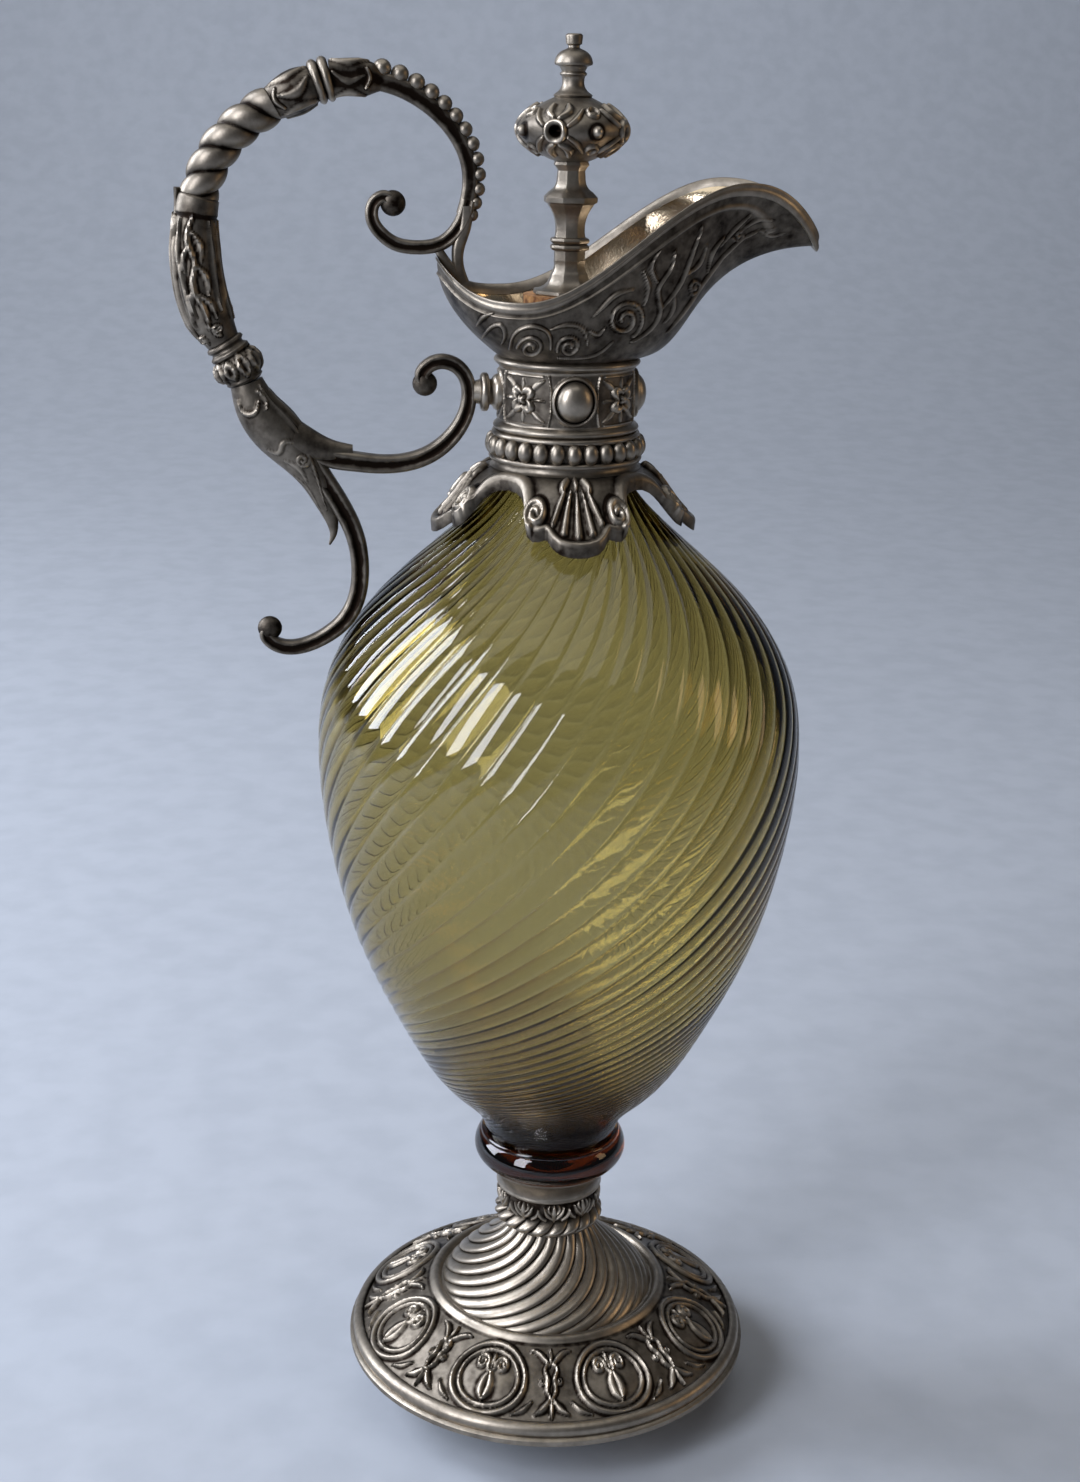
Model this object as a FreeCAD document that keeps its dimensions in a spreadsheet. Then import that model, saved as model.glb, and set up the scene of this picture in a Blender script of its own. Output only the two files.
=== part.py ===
import FreeCAD
import Part
import Sketcher
import math
import os
from types import SimpleNamespace
from FreeCAD import Rotation, Vector

# Glass ewer of the claret-jug kind: swirl-ribbed glass in cast and turned plated mounts.
# Millimetres. The origin is on the axis, on the table. The beak points along +X, the handle along -X.

SIZES = {
    # Foot
    "foot_radius": 62.0,
    "foot_plinth_height": 2.6,
    "foot_roll_height": 3.8,
    "foot_roll_inset": 3.4,
    "foot_rest_width": 4.0,
    "foot_wall": 2.0,
    "foot_band_width": 19.0,
    "foot_band_rise": 7.4,
    "foot_ring_width": 4.4,
    "foot_ring_bow": 1.7,
    "cartouche_count": 8,
    "cartouche_half_width": 11.6,
    "cartouche_half_depth": 8.4,
    "cartouche_border": 2.0,
    "cartouche_turn": 18.0,
    "relief_rise": 0.9,
    "dome_seat": 2.4,
    "dome_clearance": 0.2,
    "dome_height": 26.2,
    "dome_top_radius": 12.6,
    "dome_flutes": 24,
    "dome_flute_depth": 1.6,
    "dome_twist": 78.0,
    "dome_wall": 2.2,
    # Stem
    "gadroon_radius": 16.8,
    "gadroon_height": 6.6,
    "gadroon_lobes": 20,
    "gadroon_depth": 1.3,
    "gadroon_twist": 22.0,
    "stem_bore": 9.4,
    "cup_foot_radius": 15.0,
    "cup_leaf_height": 6.4,
    "cup_leaf_bow": 0.9,
    "cup_flare_height": 5.4,
    "cup_rim_radius": 20.9,
    # Glass
    "knop_seat_radius": 20.5,
    "knop_bow": 2.9,
    "knop_height": 11.1,
    "peg_radius": 8.4,
    "peg_length": 17.0,
    "waist_radius": 21.4,
    "belly_radius": 69.3,
    "belly_rise": 124.6,
    "shoulder_rise": 82.4,
    "glass_neck_radius": 16.0,
    "glass_neck_length": 28.0,
    "glass_neck_wall": 3.4,
    "glass_wall": 3.0,
    "glass_floor": 9.0,
    "rib_count": 48,
    "rib_depth": 0.9,
    "rib_angle_neck": 80.0,
    "rib_angle_waist": 14.0,
    # Neck mount
    "cement_clearance": 0.15,
    "mount_bore": 17.4,
    "skirt_shoulder_radius": 24.8,
    "skirt_top_radius": 20.6,
    "skirt_height": 20.0,
    "skirt_lap": 2.2,
    "skirt_reach": 36.4,
    "skirt_wall": 2.6,
    "lappet_count": 4,
    "lappet_arch_radius": 24.2,
    "lappet_volute_reach": 31.0,
    "lappet_notch_reach": 29.4,
    "lappet_lobe_reach": 33.0,
    "lappet_half_angle": 25.0,
    "bead_ring_height": 8.0,
    "bead_ring_radius": 19.6,
    "bead_count": 28,
    "bead_radius": 2.1,
    "bead_rise": 1.7,
    "band_height": 20.0,
    "band_radius": 18.6,
    "band_moulding": 1.2,
    "band_moulding_height": 3.0,
    "cabochon_frame_radius": 5.4,
    "cabochon_radius": 3.5,
    "cabochon_rise": 2.2,
    "flower_radius": 4.6,
    "flower_rise": 1.3,
    # Helmet mouth
    "mouth_wall": 1.6,
    "mouth_back_reach": 35.6,
    "mouth_half_width": 27.0,
    "mouth_centre": 8.0,
    "beak_reach": 67.8,
    "rim_back_rise": 24.8,
    "rim_low_rise": 14.5,
    "rim_low_reach": 15.0,
    "rim_peak_rise": 44.7,
    "rim_peak_reach": 44.0,
    "beak_tip_rise": 29.8,
    "beak_pinch": 0.4,
    "rim_height": 2.0,
    "rim_lean": 0.9,
    "rim_seat": 0.3,
    # Handle
    "handle_reach": 99.5,
    "handle_rise": 72.7,
    "arm_sides": 12,
    "arc_radius": 2.1,
    "arc_swell": 4.9,
    "arc_bead_count": 15,
    "arc_bead_radius": 1.7,
    "root_width": 5.0,
    "root_neck": 5.4,
    "root_inset": 8.3,
    "root_depth": 9.0,
    "collar_length": 5.0,
    "collar_radius": 5.9,
    "cup_length": 13.0,
    "cup_radius": 5.4,
    "rope_length": 33.0,
    "rope_radius": 5.0,
    "rope_strands": 3,
    "rope_depth": 1.8,
    "rope_twist": 480.0,
    "grip_length": 39.0,
    "grip_radius": 6.4,
    "knop_ball_length": 12.4,
    "knop_ball_radius": 7.3,
    "leaf_length": 29.0,
    "leaf_radius": 5.6,
    "scroll_radius": 2.5,
    "scroll_tip_radius": 1.3,
    "scroll_eye_radius": 2.7,
    "curl_reach": 12.0,
    "curl_rise": 7.6,
    "tail_clearance": 18.6,
    "tail_sweep": 10.4,
    "tail_curl": 13.6,
    "volute_radius": 1.8,
    "volute_reach": 14.0,
    "volute_rise": 12.3,
    "ferrule_radius": 4.8,
    # Stopper
    "cork_length": 36.0,
    "cork_rise": 16.4,
    "cork_taper": 1.2,
    "cork_clearance": 0.3,
    "rod_radius": 2.0,
    "rod_clearance": 0.1,
    "washer_radius": 8.0,
    "washer_height": 1.2,
    "nut_across": 7.0,
    "nut_height": 3.2,
    "finial_foot_radius": 10.0,
    "finial_foot_height": 9.0,
    "finial_facets": 8,
    "finial_waist_radius": 4.2,
    "finial_knop_radius": 7.6,
    "baluster_height": 25.6,
    "ball_radius": 14.3,
    "ball_height": 16.4,
    "ball_boss_count": 6,
    "ball_boss_radius": 4.4,
    "ball_boss_rise": 0.4,
    "bell_height": 7.6,
    "bell_radius": 5.0,
    "bell_waist_radius": 3.0,
    "button_dome_radius": 5.1,
    "button_height": 8.3,
    "button_radius": 2.4,
}

doc = FreeCAD.newDocument("glass_ewer")
sheet = doc.addObject("Spreadsheet::Sheet", "Sizes")
for row, (alias, value) in enumerate(SIZES.items(), start=1):
    sheet.set(f"A{row}", alias)
    sheet.set(f"B{row}", str(value))
    sheet.setAlias(f"B{row}", alias)
doc.recompute()


def text_of(number):
    """Sheet expression of a size, or a plain number as text."""
    return getattr(number, "text", repr(float(number)))


def joined(left, sign, right, value):
    """Size worked out from two others, with the expression that does it."""
    return Size(value, f"({text_of(left)} {sign} {text_of(right)})")


class Size(float):
    """A number that also keeps the sheet expression it comes from."""

    def __new__(cls, value, text):
        number = super().__new__(cls, value)
        number.text = text
        return number

    def __add__(self, other):
        return joined(self, "+", other, float(self) + float(other))

    def __radd__(self, other):
        return joined(other, "+", self, float(other) + float(self))

    def __sub__(self, other):
        return joined(self, "-", other, float(self) - float(other))

    def __rsub__(self, other):
        return joined(other, "-", self, float(other) - float(self))

    def __mul__(self, other):
        return joined(self, "*", other, float(self) * float(other))

    def __rmul__(self, other):
        return joined(other, "*", self, float(other) * float(self))

    def __truediv__(self, other):
        return joined(self, "/", other, float(self) / float(other))


S = SimpleNamespace(**{alias: Size(sheet.get(alias), f"Sizes.{alias}") for alias in SIZES})
pieces = {}


def keep(label, piece):
    """Register a finished sub-part under the name of its file."""
    piece.Label = label
    pieces[label] = piece
    return piece


def feature(label, shape):
    """Sub-part whose solid is worked out from the sheet's sizes."""
    piece = doc.addObject("Part::Feature", label)
    piece.Shape = shape
    piece.Placement = FreeCAD.Placement()
    return keep(label, piece)


def pin(sketch, geometry, point, direction, distance):
    """Hold a sketch point at a signed distance from the origin, by its sheet expression."""
    if float(distance) == 0:
        axis = -2 if direction == "DistanceX" else -1
        sketch.addConstraint(Sketcher.Constraint("PointOnObject", geometry, point, axis))
        return
    ends = (-1, 1, geometry, point) if distance > 0 else (geometry, point, -1, 1)
    row = sketch.addConstraint(Sketcher.Constraint(direction, *ends, abs(float(distance))))
    text = text_of(distance)
    sketch.setExpression(f"Constraints[{row}]", text if distance > 0 else f"-({text})")


def outline_sketch(body, role, outline):
    """Closed outline of (across, up) corners; a third number bows the side that follows to the right."""
    sketch = body.newObject("Sketcher::SketchObject", f"{body.Name}_{role[:2]}_outline")
    plane = next(part for part in body.Origin.OriginFeatures if part.Role == role)
    sketch.AttachmentSupport = (plane, [""])
    sketch.MapMode = "FlatFace"
    firsts = []
    for index, corner in enumerate(outline):
        following = outline[(index + 1) % len(outline)]
        start = Vector(corner[0], corner[1], 0)
        end = Vector(following[0], following[1], 0)
        if len(corner) > 2:
            along = end - start
            right = Vector(along.y, -along.x, 0).normalize()
            middle = (start + end) * 0.5 + right * float(corner[2])
            sketch.addGeometry(Part.Arc(start, middle, end))
        else:
            sketch.addGeometry(Part.LineSegment(start, end))
        firsts.append(1 if sketch.getPoint(index, 1).isEqual(start, 1e-6) else 2)
    for index, corner in enumerate(outline):
        other = (index + 1) % len(outline)
        sketch.addConstraint(Sketcher.Constraint("Coincident", index, 3 - firsts[index], other, firsts[other]))
    for index, corner in enumerate(outline):
        pin(sketch, index, firsts[index], "DistanceX", corner[0])
        pin(sketch, index, firsts[index], "DistanceY", corner[1])
        if len(corner) > 2:
            following = outline[(index + 1) % len(outline)]
            across = following[0] - corner[0]
            up = following[1] - corner[1]
            bow = corner[2] if corner[2] > 0 else 0 - corner[2]
            radius = (across * across + up * up) / (8 * bow) + bow / 2
            row = sketch.addConstraint(Sketcher.Constraint("Radius", index, float(radius)))
            sketch.setExpression(f"Constraints[{row}]", text_of(radius))
    return sketch


def turned_body(label, outline):
    """Body turned about Z from its half outline of (radius, height) corners."""
    body = doc.addObject("PartDesign::Body", label)
    sketch = outline_sketch(body, "XZ_Plane", outline)
    turn = body.newObject("PartDesign::Revolution", f"{label}_turn")
    turn.Profile = sketch
    turn.ReferenceAxis = (sketch, ["V_Axis"])
    turn.Angle = 360
    doc.recompute()
    return body


def turned(label, outline):
    """Finished sub-part turned about Z."""
    return keep(label, turned_body(label, outline))


def polar_pattern(body, original, count):
    """Repeat a feature of a body evenly round the Z axis."""
    pattern = body.newObject("PartDesign::PolarPattern", f"{body.Name}_pattern")
    pattern.Originals = [original]
    axis = next(part for part in body.Origin.OriginFeatures if part.Role == "Z_Axis")
    pattern.Axis = (axis, [""])
    pattern.Angle = 360
    pattern.Occurrences = int(count)
    pattern.setExpression("Occurrences", text_of(count))
    body.Tip = pattern
    doc.recompute()


def spline(points, first=None):
    """Smooth edge through points, leaving the first one in a given direction."""
    curve = Part.BSplineCurve()
    if first is None:
        curve.interpolate(points)
    else:
        last = (points[-1] - points[-2]).normalize()
        curve.interpolate(Points=points, InitialTangent=first, FinalTangent=last)
    return curve.toShape()


def sewn_solid(faces):
    """Solid closed by faces that meet edge to edge."""
    skin = Part.Compound(faces)
    skin.sewShape()
    shell = skin.Shells[0]
    solid = Part.Solid(shell)
    if solid.Volume < 0:
        shell.reverse()
        solid = Part.Solid(shell)
    return solid


def biggest(shape):
    """The largest solid of a cut piece."""
    return max(shape.Solids, key=lambda solid: solid.Volume)


def strip(left, right):
    """Face ruled between the smooth curves through two rows of points."""
    curves = []
    for points in (left, right):
        curve = Part.BSplineCurve()
        curve.interpolate(Points=points, Parameters=list(range(len(points))))
        curves.append(curve)
    surface = Part.BSplineSurface()
    surface.buildFromPolesMultsKnots(
        [curve.getPoles() for curve in curves], [2, 2], curves[0].getMultiplicities(),
        [0.0, 1.0], curves[0].getKnots(), False, False, 1, curves[0].Degree,
    )
    return surface.toShape()


def fluted_solid(place, columns, rows, lining=None):
    """Solid with a skin of upright strips; place(column, row) gives their corners.

    A lining is the inner outline from the lower end to the upper one; it leaves an end open
    where it stands off the axis.
    """
    grid = [[place(column, row) for row in range(rows + 1)] for column in range(columns)]
    faces = [strip(grid[column], grid[(column + 1) % columns]) for column in range(columns)]
    tips = (lining[0], lining[-1]) if lining else (Vector(), Vector())
    for row, tip in zip((0, rows), tips):
        corners = [column[row] for column in grid]
        wires = [Part.makePolygon(corners + corners[:1])]
        if tip.x > 0:
            wires.append(Part.Wire([Part.makeCircle(tip.x, Vector(0, 0, tip.z))]))
        faces.append(Part.makeFace(wires, "Part::FaceMakerBullseye"))
    if lining:
        faces += Part.makePolygon(lining).revolve(Vector(), Vector(0, 0, 1), 360).Faces
    return sewn_solid(faces)


def polar(radius, degrees, height):
    """Point at a radius, an angle and a height."""
    angle = math.radians(degrees)
    return Vector(radius * math.cos(angle), radius * math.sin(angle), height)


def eased(share):
    """Smooth step from 0 to 1."""
    share = min(1.0, max(0.0, share))
    return share * share * (3 - 2 * share)


def turned_copies(shape, angles):
    """Copies of a shape turned about the Z axis."""
    copies = []
    for degrees in angles:
        copy = shape.copy()
        copy.rotate(Vector(), Vector(0, 0, 1), degrees)
        copies.append(copy)
    return Part.Compound(copies)


# Heights of the seats, one piece standing on the next
roll_top = S.foot_plinth_height + S.foot_roll_height
band_top = roll_top + S.foot_band_rise
dome_top = band_top + S.dome_height
gadroon_top = dome_top + S.gadroon_height
cup_leaf_top = gadroon_top + S.cup_leaf_height
cup_top = cup_leaf_top + S.cup_flare_height
waist_height = cup_top + S.knop_height
belly_height = waist_height + S.belly_rise
glass_neck_foot = belly_height + S.shoulder_rise
glass_top = glass_neck_foot + S.glass_neck_length
skirt_top = glass_neck_foot + S.skirt_lap
skirt_foot = skirt_top - S.skirt_height
bead_ring_top = skirt_top + S.bead_ring_height
band_foot = bead_ring_top
band_middle = band_foot + S.band_height / 2
mouth_foot = band_foot + S.band_height
mouth_foot_radius = S.band_radius + S.band_moulding * 0.2
cork_top = mouth_foot + S.cork_rise


# Ornament of the foot's band in plan: (share of half the spacing aside, share of the band's half width inwards)
CARTOUCHE_LEAVES = (
    ((0.0, -0.58), (0.1, -0.2), (0.08, 0.16), (0.0, 0.38), (-0.08, 0.16), (-0.1, -0.2)),
    ((0.08, 0.3), (0.2, 0.2), (0.25, 0.4), (0.14, 0.5)),
    ((-0.08, 0.3), (-0.2, 0.2), (-0.25, 0.4), (-0.14, 0.5)),
)
SPRAY_LEAVES = (
    ((0.0, -0.86), (0.05, -0.58), (0.0, -0.26), (-0.05, -0.58)),
    ((0.04, -0.28), (0.12, -0.58), (0.24, -0.8), (0.17, -0.48)),
    ((-0.04, -0.28), (-0.12, -0.58), (-0.24, -0.8), (-0.17, -0.48)),
    ((0.02, -0.2), (0.12, 0.06), (0.15, 0.34), (0.08, 0.56), (0.05, 0.28)),
    ((-0.02, -0.2), (-0.12, 0.06), (-0.15, 0.34), (-0.08, 0.56), (-0.05, 0.28)),
    ((0.02, 0.52), (0.16, 0.7), (0.32, 0.84), (0.13, 0.86)),
    ((-0.02, 0.52), (-0.16, 0.7), (-0.32, 0.84), (-0.13, 0.86)),
)


def foot_relief(roll_radius, band_radius):
    """Raised borders of the cartouches, the leaf in each and the leaf sprays between them."""
    start = Vector(roll_radius, 0, roll_top)
    end = Vector(band_radius, 0, band_top)
    along = (end - start).normalize()
    normal = Vector(along.z, 0, -along.x)

    def band_line(lift):
        middle = (start + end) * 0.5 + normal * (lift - S.foot_wall * 0.3)
        return Part.Arc(start + normal * lift, middle, end + normal * lift).toShape()

    upper = band_line(float(S.relief_rise))
    lower = band_line(-0.5 * S.foot_wall)
    sides = [
        Part.makeLine(upper.valueAt(spot), lower.valueAt(other))
        for spot, other in ((upper.FirstParameter, lower.FirstParameter), (upper.LastParameter, lower.LastParameter))
    ]
    outline = Part.Wire(Part.__sortEdges__([upper, lower] + sides))
    stock = Part.Face(outline).revolve(Vector(), Vector(0, 0, 1), 360)
    middle_radius = (roll_radius + band_radius) * 0.5
    half_width = (roll_radius - band_radius) * 0.5
    half_pitch = math.pi * middle_radius / S.cartouche_count

    def prism(corners):
        face = Part.Face(Part.makePolygon(corners + corners[:1]))
        return face.extrude(Vector(0, 0, band_top * 2))

    def oval(inset):
        border_sides = 24
        angles = [2 * math.pi * side / border_sides for side in range(border_sides)]
        return prism([
            Vector(
                middle_radius + (S.cartouche_half_depth - inset) * math.cos(angle),
                (S.cartouche_half_width - inset) * math.sin(angle), 0,
            )
            for angle in angles
        ])

    def leaf(corners):
        return prism([
            Vector(middle_radius - half_width * inward, half_pitch * aside, 0) for aside, inward in corners
        ])

    border = oval(0.0).cut(oval(float(S.cartouche_border)))
    own = [border] + [leaf(corners) for corners in CARTOUCHE_LEAVES]
    between = [leaf(corners) for corners in SPRAY_LEAVES]
    pitch = 360 / S.cartouche_count
    pieces_of_relief = []
    for shapes, shift in ((own, 0.0), (between, 0.5)):
        for shape in shapes:
            shape.rotate(Vector(), Vector(0, 0, 1), S.cartouche_turn + pitch * shift)
            solids = stock.common(shape)
            turns = [pitch * index for index in range(int(S.cartouche_count))]
            pieces_of_relief += turned_copies(solids, turns).Solids
    return pieces_of_relief


def make_foot():
    """Cast dish and the swirl-fluted dome that stands on its inner ledge."""
    ground = S.foot_plinth_height * 0
    roll_radius = S.foot_radius - S.foot_roll_inset
    band_radius = roll_radius - S.foot_band_width
    ring_radius = band_radius - S.foot_ring_width
    ledge_radius = ring_radius - S.dome_seat
    rest_radius = S.foot_radius - S.foot_rest_width
    dish = turned_body("foot_blank", [
        (rest_radius, ground),
        (S.foot_radius, ground),
        (S.foot_radius, S.foot_plinth_height),
        (S.foot_radius - S.foot_roll_inset * 0.3, S.foot_plinth_height, S.foot_roll_height * 0.35),
        (roll_radius, roll_top, S.foot_wall * -0.3),
        (band_radius, band_top, S.foot_ring_bow),
        (ring_radius, band_top),
        (ledge_radius, band_top),
        (ledge_radius, band_top - S.foot_wall),
        (band_radius, band_top - S.foot_wall),
        (roll_radius - S.foot_wall, roll_top - S.foot_wall),
        (rest_radius, S.foot_plinth_height),
    ])
    feature("foot_dish", dish.Shape.multiFuse(foot_relief(roll_radius, band_radius)).removeSplitter())

    rows = 7
    foot_radius = ring_radius - S.dome_clearance

    def flute_point(column, row):
        share = row / rows
        sweep = 0.5 * share + 0.5 * eased(share)
        radius = foot_radius + (S.dome_top_radius - foot_radius) * sweep
        depth = S.dome_flute_depth * math.sin(math.pi * (0.12 + 0.76 * share))
        lobe = math.cos(math.pi * column / 2)
        turn = S.dome_twist * share + 360 * column / (4 * S.dome_flutes)
        return polar(radius + depth * 0.5 * (lobe - 1), turn, band_top + S.dome_height * share)

    inner_radius = foot_radius - S.dome_wall - S.dome_flute_depth
    lining = [
        Vector(inner_radius, 0, band_top),
        Vector((inner_radius + S.stem_bore) / 2, 0, band_top + S.dome_height / 3),
        Vector(S.stem_bore, 0, dome_top - S.dome_wall),
        Vector(S.stem_bore, 0, dome_top),
    ]
    feature("foot_dome", fluted_solid(flute_point, 4 * int(S.dome_flutes), rows, lining))


def make_stem():
    """Gadroon ring, leaf-banded cup and the plaster that holds the glass peg."""
    rows = 5

    def gadroon_point(column, row):
        share = row / rows
        swell = math.sin(math.pi * (0.1 + 0.8 * share))
        lobe = math.cos(math.pi * column / 2)
        radius = S.dome_top_radius + (S.gadroon_radius - S.dome_top_radius) * swell
        turn = S.gadroon_twist * share + 360 * column / (4 * S.gadroon_lobes)
        groove = S.gadroon_depth * 0.5 * (lobe - 1) * swell
        return polar(radius + groove, turn, dome_top + S.gadroon_height * share)

    lining = [Vector(S.stem_bore, 0, dome_top), Vector(S.stem_bore, 0, gadroon_top)]
    feature("stem_gadroon", fluted_solid(gadroon_point, 4 * int(S.gadroon_lobes), rows, lining))

    turned("stem_cup", [
        (S.stem_bore, gadroon_top),
        (S.cup_foot_radius, gadroon_top, S.cup_leaf_bow),
        (S.cup_foot_radius, cup_leaf_top, S.cup_flare_height * -0.12),
        (S.cup_rim_radius, cup_top),
        (S.stem_bore, cup_top),
    ])
    turned("stem_cement", [
        (S.peg_radius, dome_top),
        (S.stem_bore, dome_top),
        (S.stem_bore, cup_top),
        (S.peg_radius, cup_top),
    ])


def make_glass_knop():
    """Knop with the peg that goes down into the stem."""
    axis = S.peg_radius * 0
    turned("glass_knop", [
        (axis, cup_top - S.peg_length),
        (S.peg_radius, cup_top - S.peg_length),
        (S.peg_radius, cup_top),
        (S.knop_seat_radius, cup_top, S.knop_bow),
        (S.waist_radius, waist_height),
        (axis, waist_height),
    ])


# Body outline: (share of the rise, share of the swelling) below and above the belly
LOWER_OUTLINE = ((0.0, 0.0), (0.05, 0.035), (0.16, 0.235), (0.32, 0.507), (0.52, 0.752), (0.77, 0.935))
UPPER_OUTLINE = (
    (0.0, 1.0), (0.24, 0.957), (0.457, 0.79), (0.676, 0.469), (0.82, 0.217), (0.92, 0.075), (1.0, 0.0),
)


def glass_outline():
    """Outer outline of the glass from waist to the foot of the neck, as a smooth edge."""
    below = S.belly_radius - S.waist_radius
    above = S.belly_radius - S.glass_neck_radius
    points = [
        Vector(S.waist_radius + below * swell, 0, waist_height + S.belly_rise * rise)
        for rise, swell in LOWER_OUTLINE
    ]
    points += [
        Vector(S.glass_neck_radius + above * swell, 0, belly_height + S.shoulder_rise * rise)
        for rise, swell in UPPER_OUTLINE
    ]
    return spline(points)


def make_glass_body():
    """Blown body: its ribs leave the neck upright and swirl ever flatter towards the waist."""
    outline = glass_outline()
    steps = 240
    step = outline.Length / steps
    turn_each = 28.0
    length_each = outline.Length / 14.0
    rings = []
    lining = []
    floor = waist_height + S.glass_floor
    bore = S.glass_neck_radius - S.glass_neck_wall
    turn = 0.0
    measure = 1.0
    for count in range(steps + 1):
        spot = outline.getParameterByLength(step * count)
        place = outline.valueAt(spot)
        share = count / steps
        slope = math.radians(S.rib_angle_waist + (S.rib_angle_neck - S.rib_angle_waist) * share)
        if measure >= 1.0 or count == steps:
            depth = S.rib_depth * math.sin(slope) * min(1.0, 6.0 * (1.0 - share))
            rings.append((place.x, place.z, turn, depth))
            side = outline.tangentAt(spot)
            inside = Vector(place.x - (S.glass_wall + S.rib_depth) * side.z, 0, place.z + S.glass_wall * side.x)
            if inside.x > bore and inside.z > floor + S.glass_wall:
                lining.append(inside)
            measure = 0.0
        gain = math.degrees(step / (place.x * math.tan(slope)))
        turn += gain
        measure += max(gain / turn_each, step / length_each)
    for rise in (0.1, 0.3, 0.6, 1.0):
        rings.append((S.glass_neck_radius, glass_neck_foot + S.glass_neck_length * rise, rings[-1][2], 0.0))

    def rib_point(column, row):
        radius, height, twist, depth = rings[row]
        return polar(radius - depth * (column % 2), twist + 180 * column / S.rib_count, height)

    lining = [Vector(0, 0, floor)] + lining + [Vector(bore, 0, glass_neck_foot), Vector(bore, 0, glass_top)]
    feature("glass_body", fluted_solid(rib_point, 2 * int(S.rib_count), len(rings) - 1, lining))


def make_neck_mount():
    """Plaster, skirt with lappets, bead ring and band round the glass neck."""
    cement_bore = S.glass_neck_radius + S.cement_clearance
    turned("neck_cement", [
        (cement_bore, glass_neck_foot),
        (S.mount_bore, glass_neck_foot),
        (S.mount_bore, glass_top),
        (cement_bore, glass_top),
    ])
    make_skirt()
    make_bead_ring()
    turned("neck_band", [
        (S.mount_bore, band_foot),
        (mouth_foot_radius, band_foot),
        (S.band_radius + S.band_moulding, band_foot + S.band_moulding_height * 0.3),
        (S.band_radius + S.band_moulding, band_foot + S.band_moulding_height * 0.7),
        (S.band_radius, band_foot + S.band_moulding_height),
        (S.band_radius, mouth_foot - S.band_moulding_height),
        (S.band_radius + S.band_moulding, mouth_foot - S.band_moulding_height * 0.7),
        (S.band_radius + S.band_moulding, mouth_foot - S.band_moulding_height * 0.3),
        (mouth_foot_radius, mouth_foot),
        (S.mount_bore, mouth_foot),
    ])


def make_skirt():
    """Flared skirt; arches cut between four lappets, each with two side volutes and a round lobe."""
    skirt = turned_body("neck_skirt", [
        (S.mount_bore, skirt_top),
        (S.mount_bore, skirt_top - S.skirt_wall),
        (S.skirt_shoulder_radius - S.skirt_wall, skirt_top - S.skirt_height * 0.32),
        (S.skirt_reach - S.skirt_wall, skirt_foot),
        (S.skirt_reach, skirt_foot + S.skirt_wall),
        (S.skirt_shoulder_radius, skirt_top - S.skirt_height * 0.16),
        (S.skirt_top_radius, skirt_top - S.skirt_height * 0.1),
        (S.skirt_top_radius, skirt_top),
    ])
    half = 180 / float(S.lappet_count)

    def plan(radius, share):
        angle = math.radians(half - S.lappet_half_angle * share)
        return radius * math.cos(angle), radius * math.sin(angle)

    beyond = S.skirt_reach + S.skirt_wall
    axis = S.skirt_wall * 0
    edge = [
        plan(S.lappet_arch_radius + S.skirt_wall * 0.7, 1.32),
        plan(S.lappet_arch_radius + S.skirt_wall, 1.14),
        plan(S.lappet_volute_reach, 1.0),
        plan(S.lappet_notch_reach, 0.6),
        plan(S.lappet_lobe_reach, 0.52),
        plan(S.skirt_reach, 0.24),
        plan(beyond, 0.0),
    ]
    mirrored = [(across, 0 - up) for across, up in reversed(edge)]
    arch = [(S.lappet_arch_radius, axis)] + edge + [(beyond * 2, axis)] + mirrored
    cut = skirt.newObject("PartDesign::Pocket", "lappet_arch")
    cut.Profile = outline_sketch(skirt, "XY_Plane", arch)
    cut.Type = "ThroughAll"
    cut.Reversed = True
    doc.recompute()
    polar_pattern(skirt, cut, S.lappet_count)
    skirt.Placement = FreeCAD.Placement(Vector(), Rotation(Vector(0, 0, 1), half))
    keep("neck_skirt", skirt)


def make_bead_ring():
    """Turned ring with a row of blunt, eight-sided beads that stand out from its middle."""
    ring = turned_body("neck_bead_ring", [
        (S.mount_bore, skirt_top),
        (S.bead_ring_radius, skirt_top),
        (S.bead_ring_radius, bead_ring_top),
        (S.mount_bore, bead_ring_top),
    ])
    bead = ring.newObject("PartDesign::AdditivePrism", "neck_bead")
    bead.Polygon = 8
    bead.setExpression("Circumradius", text_of(S.bead_radius * 0.9))
    bead.setExpression("Height", text_of(S.bead_rise + S.bead_ring_radius - S.mount_bore))
    bead.Placement = FreeCAD.Placement(Vector(), Rotation(Vector(0, 1, 0), 90))
    bead.setExpression("Placement.Base.x", S.mount_bore.text)
    bead.setExpression("Placement.Base.z", text_of(skirt_top + S.bead_ring_height / 2))
    doc.recompute()
    polar_pattern(ring, bead, S.bead_count)
    keep("neck_bead_ring", ring)


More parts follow.
